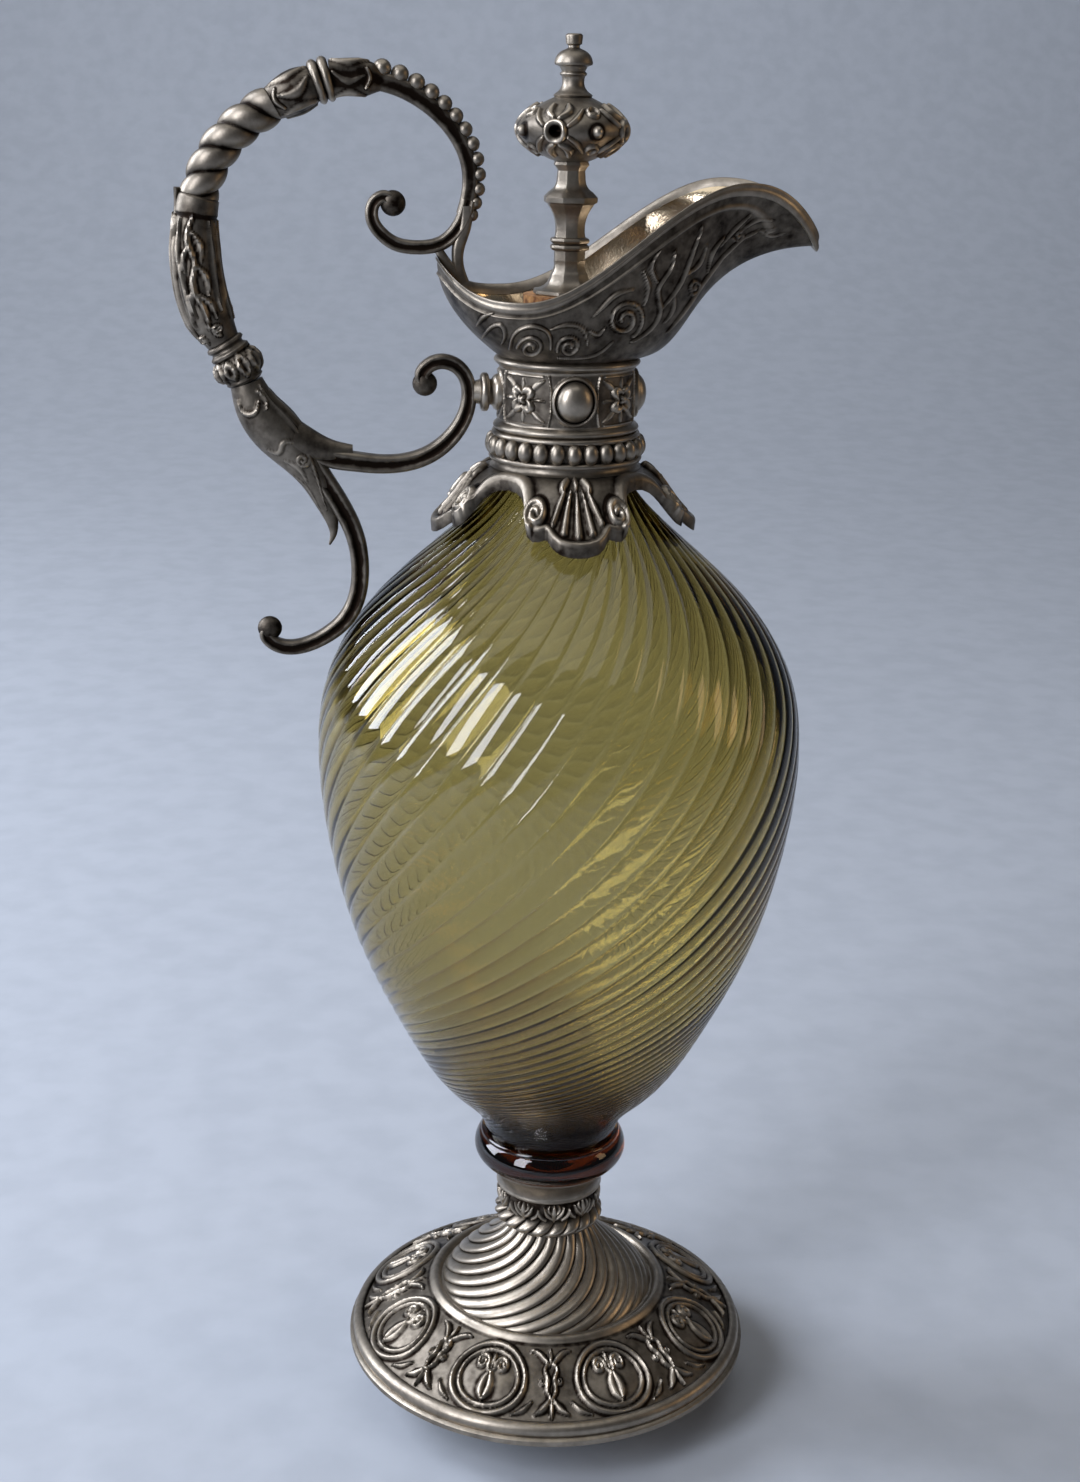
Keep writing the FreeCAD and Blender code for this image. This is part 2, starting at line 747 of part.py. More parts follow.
def make_neck_bosses():
    """Three cabochons in round frames and four quatrefoil flowers, seated on the band."""
    band = Part.makeCylinder(S.band_radius, S.band_height, Vector(0, 0, band_foot))
    out = Vector(1, 0, 0)
    seat = Vector(0, 0, band_middle)
    frame = Part.makeCylinder(S.cabochon_frame_radius, S.band_radius + S.flower_rise, seat, out)
    crown = S.band_radius + S.cabochon_rise - S.cabochon_radius
    stone = Part.makeSphere(S.cabochon_radius, Vector(crown + S.cabochon_radius * 0.4, 0, band_middle))
    boss = biggest(frame.fuse(stone).cut(band).removeSplitter())
    feature("neck_cabochons", turned_copies(boss, (-90, 0, 90)))

    petal_radius = S.flower_radius * 0.48
    petal_offset = S.flower_radius - petal_radius
    petals = []
    for quarter in range(4):
        angle = math.radians(45 + 90 * quarter)
        foot = Vector(0, petal_offset * math.cos(angle), band_middle + petal_offset * math.sin(angle))
        petals.append(Part.makeCylinder(petal_radius, S.band_radius + S.flower_rise, foot, out))
    heart = Part.makeCylinder(petal_radius * 0.8, S.band_radius + S.flower_rise * 1.6, seat, out)
    flower = biggest(heart.multiFuse(petals).cut(band).removeSplitter())
    feature("neck_flowers", turned_copies(flower, (-135, -45, 45, 135)))


def rim_place(theta, inset):
    """Point of the mouth's edge in plan and height; theta runs from the beak (0) to the back (pi)."""
    side = math.cos(theta)
    wide = (S.mouth_half_width - inset) * math.sin(theta)
    if side < 0:
        across = -S.mouth_centre + (S.mouth_back_reach - inset - S.mouth_centre) * side
    else:
        across = -S.mouth_centre + (S.beak_reach - inset + S.mouth_centre) * side
        wide *= 1 - S.beak_pinch * side ** 2
    return across, wide, mouth_foot + rim_rise(across)


def rim_rise(across):
    """Height of the rim above the foot of the mouth: low behind the middle, highest before the beak."""
    low = -S.rim_low_reach
    if across < low:
        share = min(1.0, (low - across) / (S.mouth_back_reach + low))
        return S.rim_low_rise + (S.rim_back_rise - S.rim_low_rise) * share ** 3
    if across < S.rim_peak_reach:
        climb = eased((across - low) / (S.rim_peak_reach - low))
        return S.rim_low_rise + (S.rim_peak_rise - S.rim_low_rise) * climb
    share = (across - S.rim_peak_reach) / (S.beak_reach - S.rim_peak_reach)
    return S.rim_peak_rise - (S.rim_peak_rise - S.beak_tip_rise) * share ** 2.4


def mouth_place(theta, share, inset):
    """Point of the mouth's wall, from its round foot (share 0) to its rim (share 1)."""
    across, wide, top = rim_place(theta, inset)
    foot = polar(mouth_foot_radius - inset, math.degrees(theta), mouth_foot)
    bowl_out = 1 - (1 - share) ** 2
    beak_out = share * (1 - 0.3 * math.sin(math.pi * share))
    beak = max(0.0, math.cos(theta)) ** 2
    out = bowl_out + (beak_out - bowl_out) * beak
    up = share + (eased(share) - share) * beak
    lift = inset * (1 - (2 * share - 1) ** 4)
    return Vector(
        foot.x + (across - foot.x) * out,
        foot.y + (wide - foot.y) * out,
        mouth_foot + (top - mouth_foot) * up + lift,
    )


def skin(rows):
    """Smooth face through rows of points."""
    surface = Part.BSplineSurface()
    surface.interpolate(rows)
    return surface.toShape()


def closed_edge(face, upper):
    """Upper or lower edge of a tube-like face."""
    loops = sorted((edge for edge in face.Edges if edge.isClosed()), key=lambda edge: edge.CenterOfMass.z)
    return loops[-1] if upper else loops[0]


MOUTH_COLUMNS = 32
MOUTH_ROWS = 6


def mouth_angles():
    """Angles round the mouth, from the back round to the back again."""
    return [math.pi * (2 * column / MOUTH_COLUMNS - 1) for column in range(MOUTH_COLUMNS + 1)]


def make_mouth():
    """Helmet-shaped mouth with its beak, and the border on its edge."""
    shares = [row / MOUTH_ROWS for row in range(MOUTH_ROWS + 1)]
    walls = [
        skin([[mouth_place(theta, share, inset) for share in shares] for theta in mouth_angles()])
        for inset in (0.0, S.mouth_wall)
    ]
    top = Part.makeRuledSurface(*[closed_edge(wall, True) for wall in walls])
    foot = Part.makeRuledSurface(*[closed_edge(wall, False) for wall in walls])
    feature("spout_bowl", sewn_solid(walls + [top, foot]))

    border_steps = 4
    sections = []
    for theta in mouth_angles():
        outer = mouth_place(theta, 1.0, 0.0)
        inner = mouth_place(theta, 1.0, S.mouth_wall)
        middle = (outer + inner) * 0.5 + Vector(0, 0, S.rim_seat)
        half = (outer - inner) * 0.5
        crest = Vector(half.x, half.y, 0).normalize() * S.rim_lean + Vector(0, 0, S.rim_height)
        arch = [math.pi * step / border_steps for step in range(border_steps + 1)]
        sections.append([middle + half * math.cos(turn) + crest * math.sin(turn) for turn in arch])
    lines = [list(line) for line in zip(*sections)]
    strips = [strip(line, following) for line, following in zip(lines, lines[1:] + lines[:1])]
    feature("spout_rim", sewn_solid(strips))


def handle_point(across, height):
    """Point in the handle's plane, at a distance behind the axis."""
    return Vector(-across, 0, height)


def ring_wire(centre, along, radius):
    """Many-sided ring square to a direction in the handle's plane."""
    count = int(S.arm_sides)
    outward = Vector(along.z, 0, -along.x)
    corners = []
    for index in range(count):
        angle = 2 * math.pi * (index + 0.5) / count
        corners.append(centre + outward * (radius * math.cos(angle)) + Vector(0, radius * math.sin(angle), 0))
    return Part.makePolygon(corners + corners[:1])


def arm(path, start, end, radii):
    """Arm along a path between two lengths; its radii are spread evenly over it."""
    wires = []
    for index, radius in enumerate(radii):
        spot = path.getParameterByLength(start + (end - start) * index / (len(radii) - 1))
        wires.append(ring_wire(path.valueAt(spot), path.tangentAt(spot), radius))
    return Part.makeLoft(wires, True, False)


def eye_boss(path):
    """Round boss in the eye of a scroll, at the end of its path."""
    centre = path.valueAt(path.LastParameter) - Vector(0, S.scroll_eye_radius, 0)
    return Part.makeCylinder(S.scroll_eye_radius, S.scroll_eye_radius * 2, centre, Vector(0, 1, 0))


# Line of the handle: (share of the way out from the root, share of the rise down from the top)
CREST_LINE = (
    (0.0, 0.494), (-0.007, 0.33), (0.065, 0.131), (0.19, 0.03), (0.349, 0.0), (0.536, 0.034), (0.709, 0.114),
    (0.875, 0.237), (0.979, 0.426), (1.0, 0.619), (0.961, 0.853), (0.849, 1.059), (0.755, 1.243), (0.564, 1.389),
)


def crest_path():
    """Line of the handle from its bead end, over the top and down to the fork."""
    root = S.mouth_back_reach - S.root_inset
    run = S.handle_reach - root
    top = mouth_foot + S.handle_rise
    return spline([handle_point(root + run * out, top - S.handle_rise * down) for out, down in CREST_LINE])


def make_handle():
    """Handle pieces in line along the crest, then the scrolls that join it to the mount."""
    path = crest_path()
    fork = path.Length
    leaf = fork - S.leaf_length
    knop = leaf - S.knop_ball_length
    grip = knop - S.grip_length
    rope = grip - S.rope_length
    cup = rope - S.cup_length
    collar = cup - S.collar_length
    thin = S.arc_radius
    girths = [thin, thin, thin, thin * 1.05, thin * 1.2, S.arc_swell * 0.8, S.arc_swell]
    arc = arm(path, 0, collar, girths)
    feature("handle_upper_scroll", arc)
    groove = S.collar_radius * 0.86
    feature("handle_collar", arm(path, collar, cup, [groove, S.collar_radius, groove, S.collar_radius, groove]))
    bulb = [S.cup_radius * 0.8, S.cup_radius, S.cup_radius, S.rope_radius]
    feature("handle_leaf_cup", arm(path, cup, rope, bulb))
    make_rope(path, rope, grip)
    lip = S.grip_radius * 0.8
    wrap = [lip, S.grip_radius, S.grip_radius, S.grip_radius * 0.9, lip * 0.9]
    feature("handle_leaf_grip", arm(path, grip, knop, wrap))
    ball = [S.knop_ball_radius * math.sin(math.pi * share) for share in (0.22, 0.36, 0.5, 0.64, 0.78)]
    feature("handle_knop", arm(path, knop, leaf, ball))
    blade = [S.leaf_radius * 0.7, S.leaf_radius, S.leaf_radius, S.leaf_radius * 0.8, S.scroll_radius]
    feature("handle_lower_leaf", arm(path, leaf, fork, blade))
    make_arc_beads(path, collar, girths)
    make_scrolls(path)
    make_root(path, arc)


def make_arc_beads(path, collar, girths):
    """Beads in a row along the outer side of the upper arc, each cut to sit on it."""
    arc = pieces["handle_upper_scroll"].Shape
    count = int(S.arc_bead_count)
    first = 2 * S.arc_bead_radius
    pitch = (collar * 0.86 - first) / (count - 1)
    beads = []
    for index in range(count):
        length = first + pitch * index
        place = length / collar * (len(girths) - 1)
        before = int(place)
        girth = girths[before] + (girths[before + 1] - girths[before]) * (place - before)
        offset = S.arc_radius + (girth - S.arc_radius) * 0.6
        beads.append(biggest(arm_bead(path, length, offset).cut(arc)))
    feature("handle_beads", Part.Compound(beads))


def arm_bead(path, length, offset):
    """Many-sided bead beside the path, with its poles along it."""
    spot = path.getParameterByLength(length)
    along = path.tangentAt(spot)
    centre = path.valueAt(spot) + Vector(along.z, 0, -along.x) * offset
    rings = []
    for share in (-0.9, -0.55, 0.0, 0.55, 0.9):
        radius = S.arc_bead_radius * math.sqrt(1 - share ** 2)
        rings.append(ring_wire(centre + along * (S.arc_bead_radius * share), along, radius))
    return Part.makeLoft(rings, True, True)


def make_rope(path, start, end):
    """Twisted arm: round strands that wind about the path."""
    rows = 16

    def strand_point(column, row):
        share = row / rows
        spot = path.getParameterByLength(start + (end - start) * share)
        along = path.tangentAt(spot)
        outward = Vector(along.z, 0, -along.x)
        angle = math.radians(S.rope_twist * share + 360 * column / (4 * S.rope_strands))
        radius = S.rope_radius + S.rope_depth * 0.5 * (math.cos(math.pi * column / 2) - 1)
        return path.valueAt(spot) + outward * (radius * math.cos(angle)) + Vector(0, radius * math.sin(angle), 0)

    feature("handle_rope_arm", fluted_solid(strand_point, 4 * int(S.rope_strands), rows))


# Curl at the neck: (share of its reach out from the band, share of its rise from the band's middle)
NECK_CURL = ((0.96, -2.2), (0.18, -1.05), (0.0, 0.0), (0.32, 0.9), (0.8, 1.0), (1.0, 0.47))
# Tail: (share of its sweep towards the neck, share of the way down to the shoulder), then the curl at its end
TAIL_LINE = ((-0.15, 0.02), (0.37, 0.246), (1.0, 0.508), (0.9, 0.754), (0.35, 0.91))
TAIL_CURL = ((-0.34, 1.0), (-0.9, 0.984), (-1.0, 0.895))


def shoulder_height(radius):
    """Height of the glass shoulder at a distance from the axis, or of the belly outside it."""
    heights = [point.z for point in glass_outline().discretize(400) if point.x >= radius]
    return max(heights, default=float(belly_height))


def make_scrolls(path):
    """Branch that curls in to the neck with its ferrule, and the hanging tail scroll."""
    fork = path.valueAt(path.LastParameter)
    heading = path.tangentAt(path.LastParameter)
    lower = pieces["handle_lower_leaf"].Shape
    touch = S.band_radius + S.ferrule_radius + S.scroll_radius * 1.4
    thin = S.scroll_radius
    tip = S.scroll_tip_radius
    curl_points = [
        handle_point(touch + S.curl_reach * out, band_middle + S.curl_rise * up) for out, up in NECK_CURL
    ]
    sag = fork + heading * (S.curl_reach * 1.3)
    branch = spline([fork, (sag + curl_points[0]) * 0.5] + curl_points, heading)
    curl = arm(branch, 0, branch.Length, [thin, thin, thin, thin * 1.1, thin * 1.1, thin, thin * 0.9, tip])
    feature("handle_neck_scroll", curl.fuse(eye_boss(branch)).removeSplitter())

    drop = fork.z - shoulder_height(-fork.x) - S.tail_clearance
    tail = spline(
        [fork + Vector(S.tail_sweep * aside, 0, -drop * down) for aside, down in TAIL_LINE]
        + [fork + Vector(S.tail_curl * aside, 0, -drop * down) for aside, down in TAIL_CURL]
    )
    hang = arm(tail, 0, tail.Length, [thin, thin * 1.1, thin * 1.1, thin, thin, thin * 0.9, thin * 0.8, tip])
    hang = hang.fuse(eye_boss(tail)).removeSplitter()
    feature("handle_tail_scroll", biggest(hang.cut(lower).cut(curl)))

    band = Part.makeCylinder(S.band_radius, S.band_height, Vector(0, 0, band_foot))
    seat = Vector(0, 0, band_middle)
    boss = Part.makeCone(S.ferrule_radius, S.ferrule_radius * 0.7, touch, seat, Vector(-1, 0, 0))
    feature("handle_ferrule", biggest(boss.cut(band).cut(curl)))


# Volute: (share of its reach, share of its rise) from its eye, along the stem and round the curl
VOLUTE_LINE = (
    (1.0, -1.0), (0.65, -1.06), (0.29, -0.98), (-0.09, -0.7),
    (-0.33, -0.32), (-0.31, 0.05), (-0.09, 0.24), (0.1, 0.16),
)


def make_root(path, arc):
    """Fin under the bead end, seated inside the back of the mouth, and the volute that springs from it."""
    head = path.valueAt(path.FirstParameter)
    mouth = pieces["spout_bowl"].Shape
    rim = pieces["spout_rim"].Shape
    back_top = mouth_foot + S.rim_back_rise
    back = S.mouth_back_reach - S.mouth_wall * 0.5
    corners = [
        head + Vector(S.root_neck / 2, 0, 0),
        handle_point(S.mouth_back_reach - S.root_inset, back_top - S.root_depth * 0.2),
        handle_point(S.mouth_back_reach - S.root_inset * 0.85, back_top - S.root_depth),
        handle_point(back, back_top - S.root_depth * 0.7),
        handle_point(back, back_top + S.rim_height * 1.5),
        head + Vector(-S.root_neck / 2, 0, 0),
    ]
    side = Vector(0, S.root_width / 2, 0)
    plate = Part.Face(Part.makePolygon([corner - side for corner in corners + corners[:1]]))
    fin = biggest(plate.extrude(side * 2).cut(mouth).cut(rim).cut(arc))
    feature("handle_root", fin)

    thin = S.volute_radius
    eye = handle_point(back + S.volute_reach, back_top + S.rim_height + thin * 1.2 + S.volute_rise)
    line = [eye + Vector(S.volute_reach * aside, 0, S.volute_rise * up) for aside, up in VOLUTE_LINE]
    curl_path = spline(line)
    girths = [thin, thin, thin, thin, thin * 0.9, thin * 0.8, S.scroll_tip_radius]
    curl = arm(curl_path, 0, curl_path.Length, girths)
    curl = curl.fuse(eye_boss(curl_path)).cut(fin).cut(rim).cut(mouth)
    feature("handle_upper_volute", biggest(curl))


def make_stopper():
    """Cork on its rod, and the turned finial above it."""
    axis = S.rod_radius * 0
    bore = S.rod_radius + S.rod_clearance
    cork_foot = cork_top - S.cork_length
    cork_radius = S.glass_neck_radius - S.glass_neck_wall - S.cork_clearance
    washer_foot = cork_foot - S.washer_height
    nut_foot = washer_foot - S.nut_height
    foot_top = cork_top + S.finial_foot_height
    turned("stopper_cork", [
        (bore, cork_foot),
        (cork_radius - S.cork_taper, cork_foot),
        (cork_radius, cork_top),
        (bore, cork_top),
    ])
    turned("stopper_washer", [
        (bore, washer_foot),
        (S.washer_radius, washer_foot),
        (S.washer_radius, cork_foot),
        (bore, cork_foot),
    ])
    turned("stopper_rod", [
        (axis, nut_foot),
        (S.rod_radius, nut_foot),
        (S.rod_radius, foot_top),
        (axis, foot_top),
    ])
    make_nut(nut_foot, bore)
    make_finial(foot_top, bore)


def make_nut(nut_foot, bore):
    """Six-sided nut under the washer."""
    nut = doc.addObject("PartDesign::Body", "stopper_nut")
    corner = S.nut_across / math.sqrt(3)
    angles = [math.radians(60 * side) for side in range(6)]
    pad = nut.newObject("PartDesign::Pad", "nut_body")
    hexagon = [(corner * math.cos(angle), corner * math.sin(angle)) for angle in angles]
    pad.Profile = outline_sketch(nut, "XY_Plane", hexagon)
    pad.setExpression("Length", S.nut_height.text)
    doc.recompute()
    hole = nut.newObject("PartDesign::SubtractiveCylinder", "nut_hole")
    hole.setExpression("Radius", text_of(bore))
    hole.setExpression("Height", S.nut_height.text)
    doc.recompute()
    nut.setExpression("Placement.Base.z", text_of(nut_foot))
    keep("stopper_nut", nut)


def facet_ring(radius, height):
    """Regular faceted outline at a height, measured over its corners."""
    count = int(S.finial_facets)
    corners = [polar(radius, 360 * (index + 0.5) / count, height) for index in range(count)]
    return Part.makePolygon(corners + corners[:1])


def make_finial(foot_top, bore):
    """Faceted foot and baluster, round ball with bosses, bell and button."""
    axis = S.rod_radius * 0
    waist = S.finial_waist_radius
    flare = [
        facet_ring(S.finial_foot_radius, cork_top),
        facet_ring(S.finial_foot_radius, cork_top + S.finial_foot_height * 0.12),
        facet_ring(S.finial_foot_radius * 0.62, cork_top + S.finial_foot_height * 0.42),
        facet_ring(waist, foot_top),
    ]
    hole = Part.makeCylinder(bore, S.finial_foot_height, Vector(0, 0, cork_top))
    feature("stopper_foot", Part.makeLoft(flare, True, True).cut(hole))

    knop = S.finial_knop_radius
    steps = [
        (waist, 0.0), (waist * 1.15, 0.13), (waist, 0.2), (waist * 1.1, 0.32),
        (knop * 0.86, 0.5), (knop, 0.62), (knop * 0.62, 0.78), (waist * 0.9, 1.0),
    ]
    rings = [facet_ring(radius, foot_top + S.baluster_height * share) for radius, share in steps]
    feature("stopper_baluster", Part.makeLoft(rings, True, True))

    ball_foot = foot_top + S.baluster_height
    ball_top = ball_foot + S.ball_height
    bell_top = ball_top + S.bell_height
    turned("stopper_ball", [
        (axis, ball_foot),
        (waist, ball_foot, S.ball_radius - waist),
        (S.bell_radius, ball_top),
        (axis, ball_top),
    ])
    boss_top = S.ball_radius + S.ball_boss_rise
    seat = Vector(0, 0, ball_foot + S.ball_height / 2)
    boss = Part.makeCone(S.ball_boss_radius, S.ball_boss_radius * 0.8, boss_top, seat, Vector(1, 0, 0))
    boss = biggest(boss.cut(pieces["stopper_ball"].Shape))
    count = int(S.ball_boss_count)
    feature("stopper_ball_bosses", turned_copies(boss, [360 * index / count for index in range(count)]))
    neck = S.bell_waist_radius * 1.25
    turned("stopper_bell", [
        (axis, ball_top),
        (S.bell_radius, ball_top, S.bell_radius * -0.25),
        (S.bell_waist_radius, ball_top + S.bell_height * 0.55),
        (neck, bell_top),
        (axis, bell_top),
    ])
    turned("stopper_button", [
        (axis, bell_top),
        (neck, bell_top),
        (S.button_dome_radius, bell_top + S.button_height * 0.12, S.button_height * 0.1),
        (S.button_radius * 0.8, bell_top + S.button_height * 0.55),
        (S.button_radius * 0.6, bell_top + S.button_height * 0.66),
        (S.button_radius, bell_top + S.button_height * 0.8, S.button_height * 0.06),
        (S.button_radius * 0.5, bell_top + S.button_height),
        (axis, bell_top + S.button_height),
    ])


make_foot()
make_stem()
make_glass_knop()
make_glass_body()
make_neck_mount()
make_neck_bosses()
make_mouth()
make_handle()
make_stopper()
doc.recompute()

for part in doc.Objects:
    if "Invalid" in part.State or "Error" in part.State:
        raise RuntimeError(f"{part.Label} failed to build")
for label, piece in pieces.items():
    if piece.Shape.isNull() or not piece.Shape.isValid():
        raise RuntimeError(f"{label} has no valid solid")

os.makedirs("parts", exist_ok=True)
for label, piece in pieces.items():
    piece.Shape.exportStep(f"parts/{label}.step")
    print(label, len(piece.Shape.Solids), round(piece.Shape.Volume, 1))
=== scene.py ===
import math

import bmesh
import bpy
import numpy as np
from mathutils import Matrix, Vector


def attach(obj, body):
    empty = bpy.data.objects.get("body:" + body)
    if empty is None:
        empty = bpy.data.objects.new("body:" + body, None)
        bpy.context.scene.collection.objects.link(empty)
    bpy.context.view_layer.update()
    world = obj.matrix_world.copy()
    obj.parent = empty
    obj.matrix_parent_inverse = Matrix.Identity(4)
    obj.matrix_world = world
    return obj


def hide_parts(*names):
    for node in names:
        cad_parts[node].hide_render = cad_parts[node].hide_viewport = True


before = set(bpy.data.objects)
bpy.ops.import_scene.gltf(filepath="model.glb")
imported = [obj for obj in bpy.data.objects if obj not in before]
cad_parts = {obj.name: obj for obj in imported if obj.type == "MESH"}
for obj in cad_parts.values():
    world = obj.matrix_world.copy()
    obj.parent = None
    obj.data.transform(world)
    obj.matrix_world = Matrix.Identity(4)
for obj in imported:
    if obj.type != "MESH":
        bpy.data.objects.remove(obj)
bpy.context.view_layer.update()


# Foot dish: a round cast foot of silver-plated white metal, with a rolled edge, a band of eight
# cartouches with leaf sprays between them, and a ring moulding. It is hollow below, and the dome
# is soldered on its inner ledge.
MILLIMETRE = 0.001


def linear(code):
    """Linear colour of an sRGB hex code: ((c + 0.055) / 1.055) ^ 2.4, and c / 12.92 in the darks."""
    values = [int(code[place:place + 2], 16) / 255 for place in (1, 3, 5)]
    return [v / 12.92 if v <= 0.04045 else ((v + 0.055) / 1.055) ** 2.4 for v in values] + [1.0]


def add_node(tree, kind, settings=None, links=None):
    """Add a shader node: settings name its properties or inputs, links the sockets that feed its inputs."""
    node = tree.nodes.new("ShaderNode" + kind)
    for name, value in (settings or {}).items():
        if isinstance(name, str) and hasattr(node, name):
            setattr(node, name, value)
        else:
            node.inputs[name].default_value = value
    for name, source in (links or {}).items():
        tree.links.new(source, node.inputs[name])
    return node


def start_material(name, settings):
    """New material, its node tree and its main shader, which takes the settings."""
    material = bpy.data.materials.new(name)
    material.use_nodes = True
    tree = material.node_tree
    shader = tree.nodes["Principled BSDF"]
    for setting, value in settings.items():
        shader.inputs[setting].default_value = value
    return material, tree, shader


def worn_plate(name, high, low, polish, dull):
    """Cast plate, polished where hands and cloths reach it and dark where they don't. The dark in hollows
    and creases is partly tarnish and partly painted shade, carried by the relief attribute.

    wear_and_shade = relief + 0.45 cloud + 0.35 grime, where cloud is 9 mm noise and grime 2.5 mm noise;
    colour runs from low to high and roughness from dull to polish with it. Pits are 0.7 mm noise, coarser
    than the casting's grain to show.
    """
    material, tree, shader = start_material(name, {"Metallic": 1.0})
    place = add_node(tree, "TexCoord").outputs["Object"]
    # The relief attribute carries tarnish together with painted shade in hollows and creases
    wear_and_shade = add_node(tree, "Attribute", {"attribute_name": "relief"}).outputs["Fac"]
    for size, detail, strength in ((0.009, 5.0, 0.45), (0.0025, 4.0, 0.35)):
        grains = add_node(tree, "TexNoise", {"Scale": 1 / size, "Detail": detail}, {"Vector": place})
        wear_and_shade = add_node(
            tree, "Math", {"operation": "MULTIPLY_ADD", 1: strength},
            {0: grains.outputs["Fac"], 2: wear_and_shade}).outputs[0]
    wear_and_shade = add_node(tree, "MapRange", {"From Min": 0.5, "From Max": 1.22}, {"Value": wear_and_shade}).outputs[0]
    sheen = add_node(tree, "MapRange", {"To Min": dull, "To Max": polish}, {"Value": wear_and_shade})
    colour = add_node(tree, "Mix", {"data_type": "RGBA", 6: linear(low), 7: linear(high)}, {0: wear_and_shade})
    pits = add_node(tree, "TexNoise", {"Scale": 1 / 0.0007, "Detail": 2.0}, {"Vector": place})
    bump = add_node(tree, "Bump", {"Strength": 0.12, "Distance": 0.0003}, {"Height": pits.outputs["Fac"]})
    tree.links.new(colour.outputs[2], shader.inputs["Base Color"])
    tree.links.new(sheen.outputs[0], shader.inputs["Roughness"])
    tree.links.new(bump.outputs[0], shader.inputs["Normal"])
    return material


# Silver plate gone grey with sulphide: bright on the highs and brown-black in the hollows, where the dark
# is partly tarnish and partly painted shade
tarnished_silver = worn_plate("tarnished_silver_plate", "#b8ad9d", "#1e1712", 0.32, 0.52)


def lay_skin(name, grids, material, sharp=40.0):
    """Piece made of closed skins over grids of points in mm.

    Columns run round and meet. Rows do so too where a grid is a loop, and otherwise both end rows
    close on their middle. Relief is 0 in a hollow and 1 on a high, and its low values also carry painted
    shade in creases and grooves. A skin whose enclosed volume, the sum of a . (b x c) over its triangles,
    comes out negative is turned outside out.
    """
    places, heights, corners = [], [], []
    count = 0
    for points, relief, loop in grids:
        relief = np.broadcast_to(relief, points.shape[:2])
        if not loop:
            ends = points[[0, -1]].mean(axis=1, keepdims=True).repeat(points.shape[1], axis=1)
            points = np.concatenate([ends[:1], points, ends[1:]])
            relief = np.concatenate([relief[:1], relief, relief[-1:]])
        index = np.arange(relief.size).reshape(relief.shape)
        index = np.concatenate([index, index[:, :1]], axis=1)
        if loop:
            index = np.concatenate([index, index[:1]])
        quads = np.stack(
            [index[:-1, :-1], index[:-1, 1:], index[1:, 1:], index[1:, :-1]], axis=-1).reshape(-1, 4)
        flat = points.reshape(-1, 3) * MILLIMETRE
        a, b, c, d = (flat[quads[:, corner]] - flat[0] for corner in range(4))
        if (a * np.cross(b, c)).sum() + (a * np.cross(c, d)).sum() < 0:
            quads = quads[:, ::-1]
        places.append(flat)
        heights.append(relief.ravel())
        corners.append(quads + count)
        count += len(flat)
    flat = np.concatenate(places).astype(np.float32)
    quads = np.concatenate(corners).astype(np.int32)
    mesh = bpy.data.meshes.new(name)
    mesh.vertices.add(len(flat))
    mesh.vertices.foreach_set("co", flat.ravel())
    mesh.loops.add(quads.size)
    mesh.loops.foreach_set("vertex_index", quads.ravel())
    mesh.polygons.add(len(quads))
    mesh.polygons.foreach_set("loop_start", np.arange(0, quads.size, 4, dtype=np.int32))
    mesh.update(calc_edges=True)
    worn = mesh.attributes.new("relief", "FLOAT", "POINT")
    worn.data.foreach_set("value", np.concatenate(heights).astype(np.float32))
    merged = bmesh.new()
    merged.from_mesh(mesh)
    bmesh.ops.remove_doubles(merged, verts=merged.verts, dist=0.001 * MILLIMETRE)
    merged.to_mesh(mesh)
    merged.free()
    mesh.polygons.foreach_set("use_smooth", np.ones(len(mesh.polygons), dtype=bool))
    mesh.set_sharp_from_angle(angle=math.radians(sharp))
    mesh.materials.append(material)
    piece = bpy.data.objects.new(name, mesh)
    bpy.context.scene.collection.objects.link(piece)
    return piece


def fit(piece, body, slot, *nodes):
    """Let a piece ride on a body and stand for CAD nodes. The slot is not used."""
    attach(piece, body)
    if nodes:
        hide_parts(*nodes)


def plated(name, grids, *nodes, sharp=40.0, body="ewer"):
    """Piece of tarnished plate that rides on a body and stands for its CAD nodes."""
    fit(lay_skin(name, grids, tarnished_silver, sharp), body, "plate", *nodes)


def moulding(corners, spacing=0.45):
    """Outline through (radius, height) corners, anticlockwise round the metal.

    A third number bows the side that follows to its right as a parabola, 4 bow t (1 - t), and a
    fourth divides that side into so many steps.
    """
    sides = []
    for corner, following in zip(corners, corners[1:]):
        start, end = np.array(corner[:2], float), np.array(following[:2], float)
        along = end - start
        length = np.hypot(*along)
        bow = corner[2] if len(corner) > 2 else 0.0
        steps = math.ceil((length + 2 * abs(bow)) / spacing) if bow else 1
        if len(corner) > 3:
            steps = corner[3]
        share = (np.arange(steps) / steps)[:, None]
        right = np.array([along[1], -along[0]]) / length
        sides.append(start + along * share + right * bow * 4 * share * (1 - share))
    return np.concatenate(sides + [np.array([corners[-1][:2]], float)])


def turned(outline, columns, lift=0.0, turn=0.0):
    """Outline turned about Z, with a height of lift along its outward normal at each point.

    x, y = (r + lift nr) (cos a, sin a) and z = h + lift nz, where (nr, nz) is square to the outline
    and a goes once round, plus a turn of its own in degrees.
    """
    along = np.gradient(outline, axis=0)
    normal = np.stack([along[:, 1], -along[:, 0]], axis=1) / np.linalg.norm(along, axis=1)[:, None]
    lift = np.broadcast_to(lift, (len(outline), columns))
    angle = 2 * math.pi * np.arange(columns) / columns + np.radians(np.broadcast_to(turn, lift.shape))
    radius = outline[:, :1] + lift * normal[:, :1]
    height = outline[:, 1:] + lift * normal[:, 1:]
    return np.stack([radius * np.cos(angle), radius * np.sin(angle), height], axis=-1)


